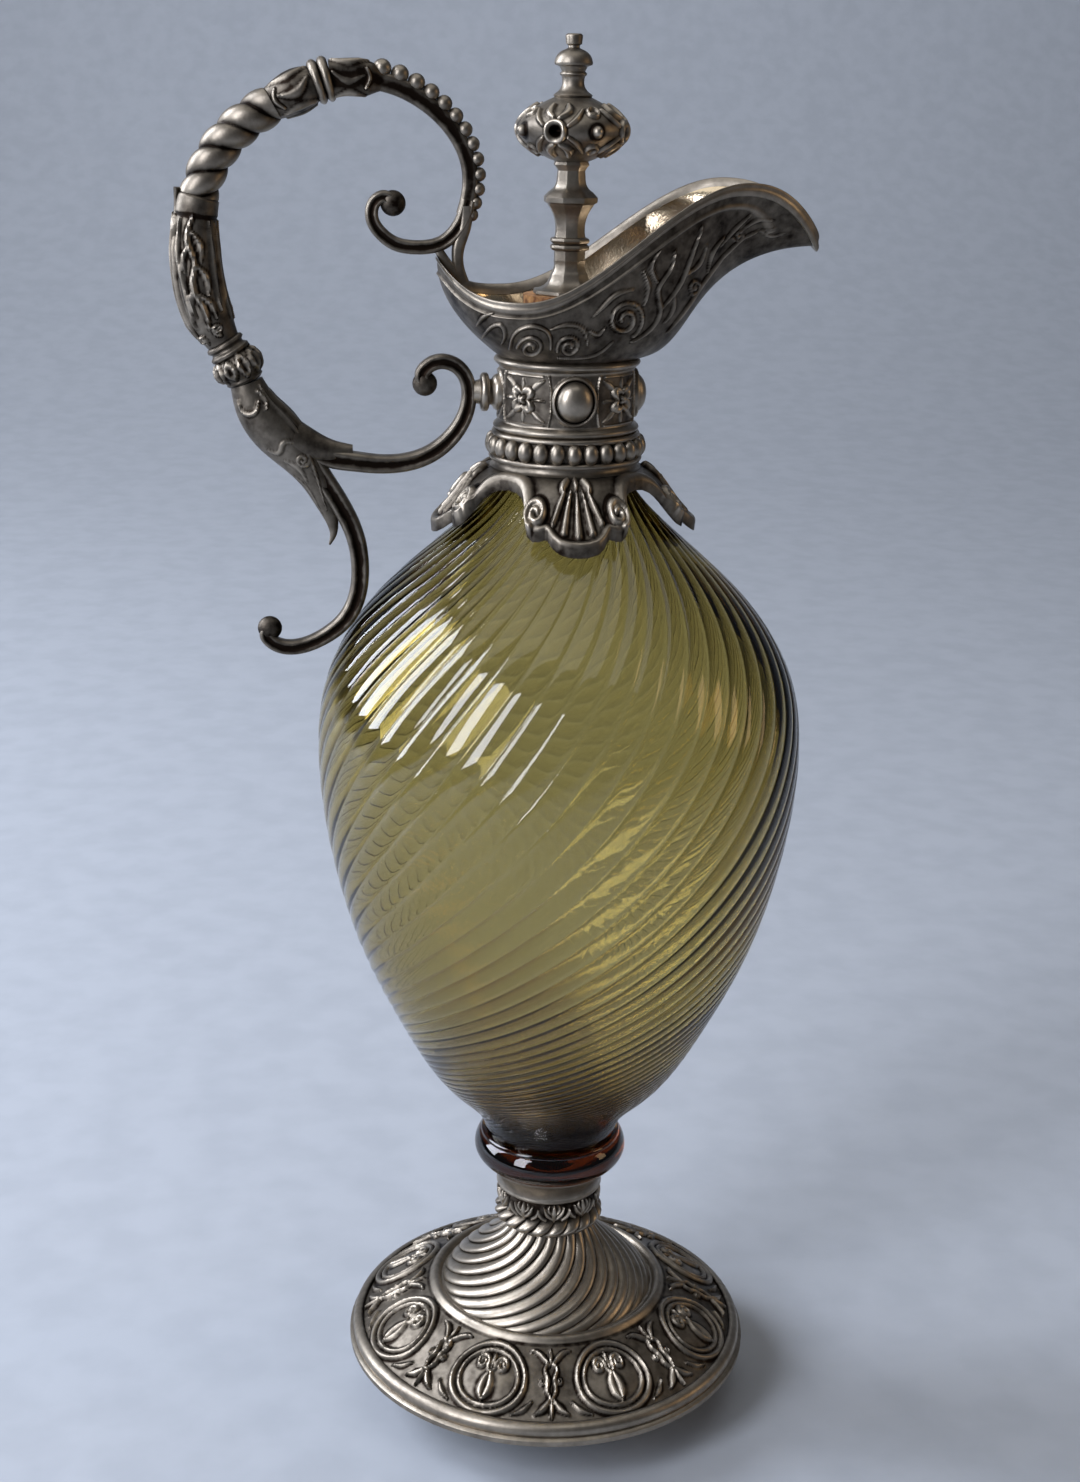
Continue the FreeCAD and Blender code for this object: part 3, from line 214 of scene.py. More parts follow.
def flow(points, count):
    """Smooth line through points: cubic pieces over the chord lengths, with no bend at the two ends."""
    points = np.asarray(points, float)
    steps = np.linalg.norm(np.diff(points, axis=0), axis=1)
    reach = np.concatenate([[0.0], np.cumsum(steps)])
    matrix = np.eye(len(points))
    inner = np.arange(1, len(points) - 1)
    matrix[inner, inner - 1] = steps[:-1] / 6
    matrix[inner, inner] = (steps[:-1] + steps[1:]) / 3
    matrix[inner, inner + 1] = steps[1:] / 6
    slope = np.diff(points, axis=0) / steps[:, None]
    bend = np.linalg.solve(matrix, np.concatenate([0 * slope[:1], np.diff(slope, axis=0), 0 * slope[:1]]))
    at = np.linspace(0, reach[-1], count)
    left = np.clip(np.searchsorted(reach, at, side="right") - 1, 0, len(steps) - 1)
    span = steps[left][:, None]
    after = (at - reach[left])[:, None] / span
    before = 1 - after
    curve = before * points[left] + after * points[left + 1]
    bow = (before ** 3 - before) * bend[left] + (after ** 3 - after) * bend[left + 1]
    return curve + bow * span ** 2 / 6


def stroke(points, widths, rise, count=28):
    """Raised stroke of a pattern: a smooth spine, its half widths spread along it, and its height."""
    share = np.linspace(0, 1, count)
    return flow(points, count), np.interp(share, np.linspace(0, 1, len(widths)), widths), rise


def coil(centre, radius, start, turns, widths, rise, count=44):
    """Raised spiral stroke: its radius falls to a fifth while the angle makes the turns."""
    share = np.linspace(0, 1, count)
    angle = math.radians(start) + 2 * math.pi * turns * share
    reach = radius * (1 - 0.8 * share)
    spine = np.stack([centre[0] + reach * np.cos(angle), centre[1] + reach * np.sin(angle)], axis=1)
    return spine, np.interp(share, np.linspace(0, 1, len(widths)), widths), rise


def ring(centre, radius, width, rise, tall=1.0):
    """Raised round line, or an oval one whose height is tall times its breadth."""
    angle = np.linspace(0, 2 * math.pi, 96)
    spine = np.stack(
        [centre[0] + radius * np.cos(angle), centre[1] + tall * radius * np.sin(angle)], axis=1)
    return spine, np.full(96, width), rise


def mirrored(strokes):
    """Strokes together with their mirror images across the first axis."""
    return strokes + [(spine * np.array([-1.0, 1.0]), width, rise) for spine, width, rise in strokes]


def chased(across, up, strokes):
    """Height of a raised pattern: the highest of its strokes, each rise (1 - (distance / half width)^2)."""
    height = np.zeros(np.broadcast(across, up).shape)
    for spine, width, rise in strokes:
        apart = (across[..., None] - spine[:, 0]) ** 2 + (up[..., None] - spine[:, 1]) ** 2
        height = np.maximum(height, rise * np.clip(1 - apart / width ** 2, 0, None).max(axis=-1))
    return height


def worked(across, up, strokes):
    """Height of a raised pattern, and the darkening beside its strokes: partly tarnish, partly painted
    shade in the creases.

    The darkening is how far strokes of 1.7 times the width stand above the true ones.
    """
    height = chased(across, up, strokes)
    wide = [(spine, width * 1.7, rise) for spine, width, rise in strokes]
    return height, chased(across, up, wide) - height


def alternated(across, up, middle, between, half, narrowing=1.0):
    """Height and crease darkening, partly tarnish and partly painted shade, of a motif in the middle of a
    strip and of another at both its edges, half away.
    """
    height, tarnish_and_shade = worked(across * narrowing, up, middle)
    for shift in (-half, half):
        beside, side_tarnish_and_shade = worked((across + shift) * narrowing, up, between)
        height, tarnish_and_shade = np.maximum(height, beside), np.maximum(tarnish_and_shade, side_tarnish_and_shade)
    return height, tarnish_and_shade


CARTOUCHES = 8
CARTOUCHE_TURN = 18.0
CARTOUCHE_MIDDLE = 9.4
DISH_COLUMNS = 800
BAND_STEPS = 56
# The ornament is drawn on a strip of this width at this radius, and stretched over the band's slope
BAND_DRAWN = 19.1
BAND_RADIUS = 49.0
band_foot = (57.6, 5.7)
band_head = (37.2, 17.9)
dish_outline = moulding([
    (58.0, 0.0), (61.3, 0.0), (62.0, 0.7), (62.0, 2.1), (61.3, 2.7), (60.7, 2.8),
    (60.9, 3.1, 1.0), (58.7, 6.5), (58.0, 6.3), (57.7, 5.7), band_foot + (0.5, BAND_STEPS), band_head,
    (37.1, 18.2), (36.7, 18.5, 1.4), (33.2, 18.6), (32.8, 18.7), (30.8, 18.7), (30.8, 16.5), (36.6, 16.3),
    (56.2, 4.2), (58.0, 2.6),
], 0.6)
sector = DISH_COLUMNS // CARTOUCHES
along_band = ((np.arange(sector) / sector - 0.5) * 2 * math.pi * BAND_RADIUS / CARTOUCHES)[None, :]
up_band = np.linspace(0, BAND_DRAWN, BAND_STEPS)[:, None]
cartouche = [
    ring((0, CARTOUCHE_MIDDLE), 11.3, 1.0, 1.2, 0.79), ring((0, CARTOUCHE_MIDDLE), 9.1, 0.8, 1.0, 0.78)]
cartouche += mirrored([
    stroke([(0, 3.2), (1.1, 6.0), (0.9, 8.8), (0, 10.8)], [0.3, 1.5, 1.4, 0.6], 1.4),
    stroke([(0.3, 10.2), (1.2, 11.6), (2.2, 12.4)], [0.7, 0.7, 0.6], 1.2),
    coil((3.3, 12.7), 2.1, 190, -1.5, [0.95, 0.85, 0.7], 1.4),
    stroke([(0, 11.8), (0.2, 13.6), (0, 15.4)], [0.5, 0.7, 0.4], 1.0),
])
spray = mirrored([
    stroke([(0, 5.4), (0, 3.2), (0, 0.8)], [0.4, 0.9, 0.3], 1.3),
    stroke([(0.4, 5.6), (2.0, 3.4), (4.4, 1.6)], [0.5, 1.1, 0.35], 1.3),
    stroke([(0.2, 5.6), (1.3, 8.0), (1.0, 10.4), (1.9, 12.6), (1.1, 14.4)], [0.5, 0.8, 0.9, 0.8, 0.6], 1.3),
    coil((2.5, 10.0), 1.1, 150, 1.2, [0.5, 0.4], 1.0),
    stroke([(0.6, 14.0), (2.6, 16.0), (5.2, 17.4), (7.4, 17.6)], [0.6, 1.0, 0.8, 0.3], 1.2),
    stroke([(0, 14.6), (0.2, 16.6), (0, 18.4)], [0.5, 0.7, 0.3], 1.1),
    stroke([(5.6, 4.6), (7.6, 2.6), (10.4, 1.2)], [0.4, 0.8, 0.3], 0.9),
])
band_pattern, band_tarnish_and_shade = alternated(
    along_band, up_band, cartouche, spray, math.pi * BAND_RADIUS / CARTOUCHES)
field = np.hypot(along_band / 8.6, (up_band - CARTOUCHE_MIDDLE) / 6.8)
band_pattern = np.maximum(band_pattern, 0.6 * np.clip(1 - field ** 2, 0, None))
dish_lift = np.zeros((len(dish_outline), DISH_COLUMNS))
dish_wear_and_shade = np.full(dish_lift.shape, 0.5)
first = int(np.argmin(np.hypot(*(dish_outline - band_foot).T)))
dish_lift[first:first + BAND_STEPS] = np.tile(band_pattern, CARTOUCHES)
# Darker beside the band's strokes and in the dark rows at both edges of the band: partly tarnish, partly
# painted shade in the creases
dish_wear_and_shade[first:first + BAND_STEPS] = np.tile(0.28 + 0.24 * band_pattern - 0.34 * band_tarnish_and_shade, CARTOUCHES)
dish_wear_and_shade[first - 2:first] = 0.1
dish_wear_and_shade[first + BAND_STEPS - 1:first + BAND_STEPS + 2] = 0.15
dish_turn = CARTOUCHE_TURN - 180 / CARTOUCHES
plated(
    "foot_dish_cast", [(turned(dish_outline, DISH_COLUMNS, dish_lift, dish_turn), dish_wear_and_shade, True)],
    "foot_dish")


# Foot dome: a cast dome of the same plated metal, its round flutes swirling up to the stem. Its edge
# is soldered on the dish's ledge.
FLUTES = 24
DOME_ROWS = 60
STEM_BORE = 9.4
flute_columns = FLUTES * 16


def eased(share):
    """Smooth step 3 s^2 - 2 s^3 between 0 and 1."""
    share = np.clip(share, 0, 1)
    return share * share * (3 - 2 * share)


def round_lobes(count, columns):
    """Height across a row of half-round lobes: sqrt(1 - x^2), with x from -1 to 1 over each."""
    across = (np.arange(columns) * count / columns) % 1.0 * 2 - 1
    return np.sqrt(1 - across ** 2)


def swirled(radius, height, twist, depth, lobes, turns=None):
    """Swirling lobed skin: r = radius - depth (1 - lobe), turned by twist degrees, row by row.

    Columns lie at even angles, or at their own shares of the whole turn.
    """
    turns = np.arange(lobes.size) / lobes.size if turns is None else turns
    angle = 2 * math.pi * turns + np.radians(twist)[:, None]
    reach = radius[:, None] - depth[:, None] * (1 - lobes)
    return np.stack([reach * np.cos(angle), reach * np.sin(angle), height[:, None] + 0 * angle], axis=-1)


share = np.linspace(0, 1, DOME_ROWS)
flutes = round_lobes(FLUTES, flute_columns)
dome_outer = swirled(
    32.8 - 20.2 * (0.5 * share + 0.5 * eased(share)), 18.6 + 21.4 * share, 82 * (1 - (1 - share) ** 1.5),
    2.3 * np.sin(math.pi * (0.06 + 0.8 * share)), flutes)
dome_lining = turned(
    moulding([(STEM_BORE, 40.0), (STEM_BORE, 37.8), (19.0, 26.0), (29.0, 18.6)]), flute_columns)
dome_wear = np.concatenate(
    [np.tile(0.18 + 0.45 * flutes, (DOME_ROWS, 1)), np.full((len(dome_lining), flute_columns), 0.2)])
plated(
    "foot_dome_fluted", [(np.concatenate([dome_outer, dome_lining]), dome_wear, True)],
    "foot_dome", sharp=70)


# Stem: a ring of slanted gadroons and, above it, a small cup with a band of leaf tips and a plain
# flare that takes the glass. Both are cast plate, soldered in line; plaster inside holds the glass peg.
GADROONS = 20
share = np.linspace(0, 1, 26)
swell = np.sin(math.pi * (0.06 + 0.88 * share))
lobes = round_lobes(GADROONS, GADROONS * 16)
gadroon_outer = swirled(12.6 + 4.2 * swell, 40.0 + 6.6 * share, 22 * share, 1.9 * swell, lobes)
gadroon_lining = turned(moulding([(STEM_BORE, 46.6), (STEM_BORE, 40.0)]), lobes.size)
gadroon_wear = np.concatenate([0.08 + 0.6 * swell[:, None] * lobes, np.full((2, lobes.size), 0.2)])
plated(
    "stem_gadroon_ring", [(np.concatenate([gadroon_outer, gadroon_lining]), gadroon_wear, True)],
    "stem_gadroon", sharp=70)

CUP_LEAVES = 10
CUP_COLUMNS = 480
CUP_RADIUS = 15.2
LEAF_ROWS = 30
cup_outline = moulding([
    (STEM_BORE, 46.6), (14.2, 46.6), (14.6, 46.9, 0.7, LEAF_ROWS), (14.7, 52.6), (15.6, 52.9, 0.35),
    (16.1, 54.0), (16.0, 54.3, -0.6), (19.0, 60.4), (19.5, 60.8), (19.5, 61.4), (STEM_BORE, 61.4),
])
leafed = slice(2, 2 + LEAF_ROWS)
leaf_columns = CUP_COLUMNS // CUP_LEAVES
across_leaf = (np.arange(leaf_columns) / leaf_columns - 0.5) * 2 * math.pi * CUP_RADIUS / CUP_LEAVES
up_leaf = np.linspace(0, 5.7, LEAF_ROWS)
leaf_tips = mirrored([
    stroke([(0, 0.2), (0.1, 2.6), (0, 5.4)], [0.7, 0.9, 0.3], 0.8),
    stroke([(0.2, 0.6), (1.9, 2.0), (3.0, 4.6)], [0.5, 0.8, 0.3], 0.8),
    stroke([(0.8, 2.6), (1.7, 3.9), (1.4, 5.2)], [0.4, 0.6, 0.3], 0.7),
    stroke([(2.6, 0.2), (4.2, 1.6), (4.8, 3.6)], [0.5, 0.7, 0.4], 0.8),
])
cup_pattern = np.tile(chased(across_leaf[None, :], up_leaf[:, None], leaf_tips), CUP_LEAVES)
cup_lift = np.zeros((len(cup_outline), CUP_COLUMNS))
cup_lift[leafed] = cup_pattern
cup_wear_and_shade = np.full(cup_lift.shape, 0.5)
cup_wear_and_shade[leafed] = 0.08 + 0.6 * cup_pattern / 0.8
plated("stem_cup_leafed", [(turned(cup_outline, CUP_COLUMNS, cup_lift), cup_wear_and_shade, True)], "stem_cup")


# Glass knop: a dark amber gather with a peg, pressed between the stem's cup and the body while hot.
# It is the body's own glass, almost black where it is thick and amber where light gets through.
def blown_glass(name, tint, density):
    """Blown glass: clear, fire-polished and coloured in the mass, so its tint deepens with thickness.

    Light falls off as exp(-density (1 - tint) d) over a way d in metres. The skin browns between 115 mm
    and 70 mm up, where the gather was thickest. Slow 14 mm noise gives it the slight waviness of work
    blown by mouth.
    """
    material, tree, shader = start_material(
        name, {"Roughness": 0.015, "IOR": 1.5, "Transmission Weight": 1.0})
    place = add_node(tree, "TexCoord").outputs["Object"]
    height = add_node(tree, "SeparateXYZ", None, {"Vector": place}).outputs["Z"]
    thin = add_node(tree, "MapRange", {"From Min": 0.07, "From Max": 0.115}, {"Value": height})
    skin = add_node(
        tree, "Mix", {"data_type": "RGBA", 6: linear("#b08a3e"), 7: linear("#ffffff")},
        {0: thin.outputs[0]})
    waves = add_node(tree, "TexNoise", {"Scale": 1 / 0.014, "Detail": 1.0}, {"Vector": place})
    bump = add_node(tree, "Bump", {"Strength": 0.1, "Distance": 0.0006}, {"Height": waves.outputs["Fac"]})
    mass = add_node(tree, "VolumeAbsorption", {"Color": linear(tint), "Density": density})
    tree.links.new(skin.outputs[2], shader.inputs["Base Color"])
    tree.links.new(bump.outputs[0], shader.inputs["Normal"])
    tree.links.new(mass.outputs[0], tree.nodes["Material Output"].inputs["Volume"])
    return material


# Amber glass in a thick gather: nearly black, with red-brown light in its edges
dark_amber = blown_glass("dark_amber_glass", "#dcb458", 110.0)
knop_outline = moulding([
    (0.02, 41.4), (8.4, 41.4), (8.4, 61.4), (19.2, 61.45), (20.4, 61.6, 2.0), (21.8, 70.4),
    (21.3, 70.9, 0.35), (20.2, 72.2), (19.7, 72.4), (0.02, 72.4),
], 0.3)
knop = lay_skin("glass_knop_gather", [(turned(knop_outline, 192), 0.8, False)], dark_amber, 30)
fit(knop, "ewer", "dark_glass", "glass_knop")


# Glass body: blown into a ribbed mould and twisted, in olive-amber glass of about 3 mm. The ribs leave
# the neck upright and swirl flatter and flatter towards the waist.
RIBS = 48
NECK_ROWS = 7
GLASS_WALL = 3.4
across_rib = np.array([-1.0, -0.9, -0.76, -0.5, -0.17, 0.17, 0.5, 0.76, 0.9])
RIB_COLUMNS = RIBS * len(across_rib)
body_line = flow(
    [(19.8, 72.5), (21.3, 76.4)] + [(21.4 + 47.9 * swelling, 69.5 + 124.6 * rise) for rise, swelling in (
        (0.16, 0.235), (0.32, 0.507), (0.52, 0.752), (0.77, 0.935))]
    + [(16.0 + 53.3 * swelling, 194.1 + 82.4 * rise) for rise, swelling in (
        (0.0, 1.0), (0.24, 0.957), (0.457, 0.79), (0.676, 0.469), (0.82, 0.217), (0.92, 0.075),
        (1.0, 0.0))], 150)
# The ribs climb at 14 degrees at the waist and at 80 degrees at the neck
share = np.linspace(0, 1, len(body_line))
slope = np.radians(14 + 66 * share)
steps = np.hypot(*np.diff(body_line, axis=0).T)
gain = np.degrees(steps / (body_line[:-1, 0] * np.tan(slope[:-1])))
rib_turn = np.concatenate([[0.0], np.cumsum(gain)])
rib_depth = 0.7 * np.sin(slope) * np.clip(6 * (1 - share), 0, 1) * np.clip(share / 0.04, 0, 1)
neck = np.linspace(276.5, 304.5, NECK_ROWS + 1)[1:]
rib_turns = (np.arange(RIBS)[:, None] + across_rib / 2).ravel() / RIBS
ribs = np.tile(0.65 * (1 - across_rib ** 2) + 0.35 * np.clip((1 - np.abs(across_rib)) / 0.24, 0, 1), RIBS)
body_outer = swirled(
    np.concatenate([body_line[:, 0], np.full(NECK_ROWS, 16.0)]), np.concatenate([body_line[:, 1], neck]),
    np.concatenate([rib_turn, np.full(NECK_ROWS, rib_turn[-1])]),
    np.concatenate([rib_depth, np.zeros(NECK_ROWS)]), ribs, rib_turns)
along = np.gradient(body_line, axis=0)
along /= np.linalg.norm(along, axis=1)[:, None]
inside = body_line + GLASS_WALL * np.stack([-along[:, 1], along[:, 0]], axis=1)
inside = inside[(inside[:, 0] > 12.8) & (inside[:, 1] > 79.5)][::3]
lining = np.concatenate([
    [(12.6, 304.5), (12.6, 290.0), (12.6, 277.0)], inside[::-1], [(16.0, 78.9), (8.0, 78.5), (0.02, 78.5)]])
body_inner = turned(lining, RIB_COLUMNS, 0.0, rib_turn[-1])
floor_disc = turned(np.array([(0.02, 72.5), (10.0, 72.5)]), RIB_COLUMNS)
# Olive-amber glass: clear and glossy, yellow-green where it is thin and darker where walls overlap
olive_amber = blown_glass("olive_amber_blown_glass", "#dccf6e", 390.0)
body = lay_skin(
    "glass_body_ribbed", [(np.concatenate([floor_disc, body_outer, body_inner]), 0.8, False)],
    olive_amber, 60)
fit(body, "ewer", "amber_glass", "glass_body")


# Neck mount: a skirt whose four shell lappets hang over the glass shoulder between open arches, a ring
# of beads and a band, all cast plate, slipped over the glass neck and held there by plaster.
LAPPETS = 4
SKIRT_COLUMNS = LAPPETS * 140
HALF_LAPPET = SKIRT_COLUMNS // LAPPETS // 2 + 1
SKIRT_TOP = 20.6
LAPPET_RADIUS = 28.0
NECK_BORE = 17.4
skirt_angle = 2 * math.pi * np.arange(SKIRT_COLUMNS) / SKIRT_COLUMNS
from_lappet = np.abs((np.degrees(skirt_angle) + 45) % 90 - 45)
lappet_edge = np.interp(
    from_lappet, [0, 4, 8, 11.5, 13.5, 15, 18, 21, 24.5, 27, 29.5, 33, 38, 45],
    [37.0, 36.8, 36.2, 34.8, 33.5, 32.9, 33.4, 33.5, 32.4, 29.8, 27.4, 25.8, 24.7, 24.3])
skirt_fall = flow(
    [(SKIRT_TOP, 276.6), (22.8, 276.0), (24.9, 274.6), (28.0, 270.9), (32.0, 265.6), (38.2, 259.6)], 60)
share = np.linspace(0, 1, 48)[:, None]
skirt_reach = SKIRT_TOP + (lappet_edge - SKIRT_TOP) * share
skirt_height = np.interp(skirt_reach, skirt_fall[:, 0], skirt_fall[:, 1])
across_lappet = np.radians(from_lappet)[None, :] * LAPPET_RADIUS + 0 * share
up_lappet = skirt_reach - SKIRT_TOP
edge_angle = skirt_angle[:HALF_LAPPET]
edge_roll = np.interp(np.degrees(edge_angle), [0, 12, 16, 22, 28, 45], [0.9, 0.8, 0.7, 1.0, 1.7, 1.8])
edge_spine = np.stack(
    [edge_angle * LAPPET_RADIUS, lappet_edge[:HALF_LAPPET] - SKIRT_TOP - edge_roll], axis=1)
lappet_strokes = [
    (edge_spine, edge_roll * 1.25, 1.1),
    coil((10.2, 9.4), 2.7, 70, -1.6, [1.2, 1.1, 1.0], 2.2),
    stroke([(0, 5.6), (0, 9.4), (0, 13.4)], [0.5, 0.9, 1.1], 1.3),
    stroke([(1.6, 5.2), (2.6, 9.0), (3.2, 12.6)], [0.5, 0.9, 1.0], 1.2),
    stroke([(3.4, 5.4), (4.8, 8.2), (5.9, 10.8)], [0.6, 0.9, 0.8], 1.1),
    stroke([(2.6, 2.2), (3.5, 3.4), (3.9, 4.6)], [1.2, 1.5, 1.1], 1.4),
    stroke([(0, 1.4), (0, 3.0), (0, 4.4)], [0.8, 1.1, 0.7], 1.2),
]
lappet_pattern, lappet_tarnish_and_shade = worked(across_lappet, up_lappet, lappet_strokes)
skirt_outer = np.stack(
    [skirt_reach * np.cos(skirt_angle), skirt_reach * np.sin(skirt_angle), skirt_height], axis=-1)


def raised(points, lift):
    """Grid of points moved by a lift along its own normal, the cross product of its two directions.

    The normal points away from the Z axis, or up where the surface is flat.
    """
    across = np.roll(points, -1, axis=1) - np.roll(points, 1, axis=1)
    normal = np.cross(across, np.gradient(points, axis=0))
    normal /= np.linalg.norm(normal, axis=-1, keepdims=True) + 1e-12
    outward = points * np.array([1.0, 1.0, 0.0])
    facing = (normal * outward).sum(axis=-1, keepdims=True)
    return points + normal * np.where(facing < 0, -1, 1) * lift[..., None]


skirt_inner = skirt_outer[::-6] - np.array([0.0, 0.0, 2.4])
skirt_collar = turned(
    moulding([(NECK_BORE, 276.0), (NECK_BORE, 278.7), (19.8, 278.7, 0.45, 5), (20.9, 276.7)]),
    SKIRT_COLUMNS)
skirt_grid = np.concatenate([skirt_collar, raised(skirt_outer, lappet_pattern), skirt_inner])
# Darker beside the lappet strokes, partly tarnish and partly painted shade; the underside is kept dark at
# 0.2
skirt_wear_and_shade = np.concatenate([
    np.full((len(skirt_collar), SKIRT_COLUMNS), 0.4), 0.28 + 0.2 * lappet_pattern - 0.3 * lappet_tarnish_and_shade,
    np.full((len(skirt_inner), SKIRT_COLUMNS), 0.2)])
plated("neck_skirt_lappets", [(skirt_grid, skirt_wear_and_shade, True)], "neck_skirt", sharp=55)

BEADS = 28


def ball(radius, rows, columns):
    """Sphere about the origin by polar angles: rows from pole to pole, columns round Z."""
    polar = math.pi * (np.arange(rows) + 0.5) / rows
    angle = 2 * math.pi * np.arange(columns) / columns
    level = radius * np.cos(polar)[:, None] + 0 * angle
    return np.stack([
        radius * np.sin(polar)[:, None] * np.cos(angle), radius * np.sin(polar)[:, None] * np.sin(angle),
        level], axis=-1)


def spun(points, degrees):
    """Points turned about Z."""
    angle = math.radians(degrees)
    matrix = np.array(
        [[math.cos(angle), -math.sin(angle), 0], [math.sin(angle), math.cos(angle), 0], [0, 0, 1]])
    return points @ matrix.T


ring_outline = moulding([
    (NECK_BORE, 278.7), (20.9, 278.7), (21.2, 279.2, 0.35), (20.4, 280.2), (19.4, 280.5), (19.4, 284.9),
    (20.0, 285.1, 0.4), (20.2, 286.5), (19.6, 286.7), (NECK_BORE, 286.7)])
ring_wear = np.interp(ring_outline[:, 1], [280.3, 280.6, 284.8, 285.2], [0.5, 0.05, 0.05, 0.5])[:, None]
bead = ball(2.15, 10, 16) * np.array([1.0, 1.0, 1.35]) + np.array([20.2, 0.0, 282.7])
bead_skins = [(spun(bead, 360 / BEADS * place), 0.5, False) for place in range(BEADS)]
plated(
    "neck_bead_ring_beaded", [(turned(ring_outline, 192), ring_wear, True)] + bead_skins,
    "neck_bead_ring")

PANELS = 4
PANEL_COLUMNS = 140
PANEL_ROWS = 44
BAND_COLUMNS = PANELS * PANEL_COLUMNS
BAND_MIDDLE = 296.7
PANEL_RADIUS = 18.6
PANEL_HALF = 6.9
PANEL_FOOT = 289.8
MOUTH_FOOT = 306.7
neck_outline = moulding([
    (NECK_BORE, 286.7), (19.2, 286.7), (19.8, 287.2, 0.3), (19.8, 288.4), (19.1, 289.0, -0.2),
    (PANEL_RADIUS, 289.7), (PANEL_RADIUS, PANEL_FOOT, 0.0, PANEL_ROWS), (PANEL_RADIUS, 303.6),
    (PANEL_RADIUS, 303.7, -0.2), (19.1, 304.4), (19.8, 305.0, 0.3), (19.8, 306.2), (19.2, MOUTH_FOOT),
    (NECK_BORE, MOUTH_FOOT)])
across_panel = (np.arange(PANEL_COLUMNS) / PANEL_COLUMNS - 0.5) * PANEL_RADIUS * math.pi / 2
up_panel = np.linspace(-PANEL_HALF, PANEL_HALF, PANEL_ROWS)
panel = mirrored([
    stroke([(2.2, 2.0), (4.2, 4.2), (6.4, 5.6)], [0.4, 0.9, 0.3], 0.6),
    stroke([(2.2, -2.0), (4.2, -4.2), (6.4, -5.6)], [0.4, 0.9, 0.3], 0.6),
    stroke([(3.0, 0.0), (5.0, 0.2), (6.6, 0.0)], [0.3, 0.6, 0.2], 0.6),
    stroke([(7.6, 6.8), (8.2, 3.4), (8.3, 0.0), (8.2, -3.4), (7.6, -6.8)], [0.4, 0.4, 0.4, 0.4, 0.4], 0.6),
    stroke([(14.6, 6.6), (11.4, 5.6), (9.2, 3.0)], [0.5, 0.5, 0.4], 0.6),
    stroke([(14.6, -6.6), (11.4, -5.6), (9.2, -3.0)], [0.5, 0.5, 0.4], 0.6),
    stroke([(0, 6.7), (3.0, 6.7), (6.0, 6.7)], [0.35, 0.35, 0.35], 0.5),
    stroke([(0, -6.7), (3.0, -6.7), (6.0, -6.7)], [0.35, 0.35, 0.35], 0.5),
    stroke([(0, 3.0), (0.2, 4.6), (0, 6.0)], [0.4, 0.6, 0.3], 0.5),
    stroke([(0, -3.0), (0.2, -4.6), (0, -6.0)], [0.4, 0.6, 0.3], 0.5),
])
panel_pattern = np.tile(chased(across_panel[None, :], up_panel[:, None], panel), PANELS)
first = int(np.argmin(np.abs(neck_outline[:, 1] - PANEL_FOOT)))
neck_lift = np.zeros((len(neck_outline), BAND_COLUMNS))
neck_lift[first:first + PANEL_ROWS] = panel_pattern
neck_wear = np.full(neck_lift.shape, 0.5)
neck_wear[first:first + PANEL_ROWS] = 0.24 + 0.4 * panel_pattern / 0.6
plated(
    "neck_band_chased", [(turned(neck_outline, BAND_COLUMNS, neck_lift), neck_wear, True)],
    "neck_band")


def stand_out(profile, columns, tall=1.0):
    """Boss that stands out along +X at the middle of the band, tall times as high as it is broad.

    The profile gives (radius, way out) corners.
    """
    angle = 2 * math.pi * np.arange(columns) / columns
    radius, out = np.array(profile, float).T[:, :, None]
    return np.stack(
        [out + 0 * angle, radius * np.cos(angle), BAND_MIDDLE + tall * radius * np.sin(angle)], axis=-1)


cabochon = stand_out([
    (6.1, 17.4), (6.2, 18.8), (6.0, 19.4), (5.6, 19.6), (5.3, 19.4), (5.15, 18.8),
    (5.05, 18.8), (4.9, 19.4), (4.3, 20.4), (3.4, 21.2), (2.4, 21.7), (1.2, 22.0), (0.3, 22.1)], 48, 1.1)
cabochon_wear = np.array([0.3, 0.4, 0.5, 0.5, 0.4, 0.0, 0.0, 0.3, 0.55, 0.6, 0.6, 0.6, 0.6])[:, None]
plated(
    "neck_cabochons_set", [(spun(cabochon, turn), cabochon_wear, False) for turn in (-90, 0, 90)],
    "neck_cabochons", sharp=50)

petal_angle = 2 * math.pi * np.arange(64) / 64
petal_reach = 4.7 * (0.5 + 0.5 * np.abs(np.cos(2 * petal_angle - math.pi / 2)) ** 0.8)
petal_share = np.array([1.0, 0.98, 0.85, 0.68, 0.5, 0.36, 0.3, 0.24, 0.14, 0.04])[:, None]
petal_out = np.array([17.4, 18.9, 19.6, 19.8, 19.5, 19.0, 19.4, 19.9, 20.2, 20.3])[:, None]
petal_crease = np.exp(-((petal_share - 0.65) / 0.2) ** 2) * np.cos(4 * petal_angle - math.pi) ** 8
petal_out = petal_out - 0.35 * petal_crease
flower = np.stack([
    petal_out + 0 * petal_angle, petal_reach * petal_share * np.cos(petal_angle),
    BAND_MIDDLE + petal_reach * petal_share * np.sin(petal_angle)], axis=-1)
flower_wear = np.array([0.2, 0.4, 0.6, 0.6, 0.4, 0.1, 0.2, 0.5, 0.6, 0.6])[:, None]
plated(
    "neck_flowers_applied", [(spun(flower, turn), flower_wear, False) for turn in (-135, -45, 45, 135)],
    "neck_flowers", sharp=60)


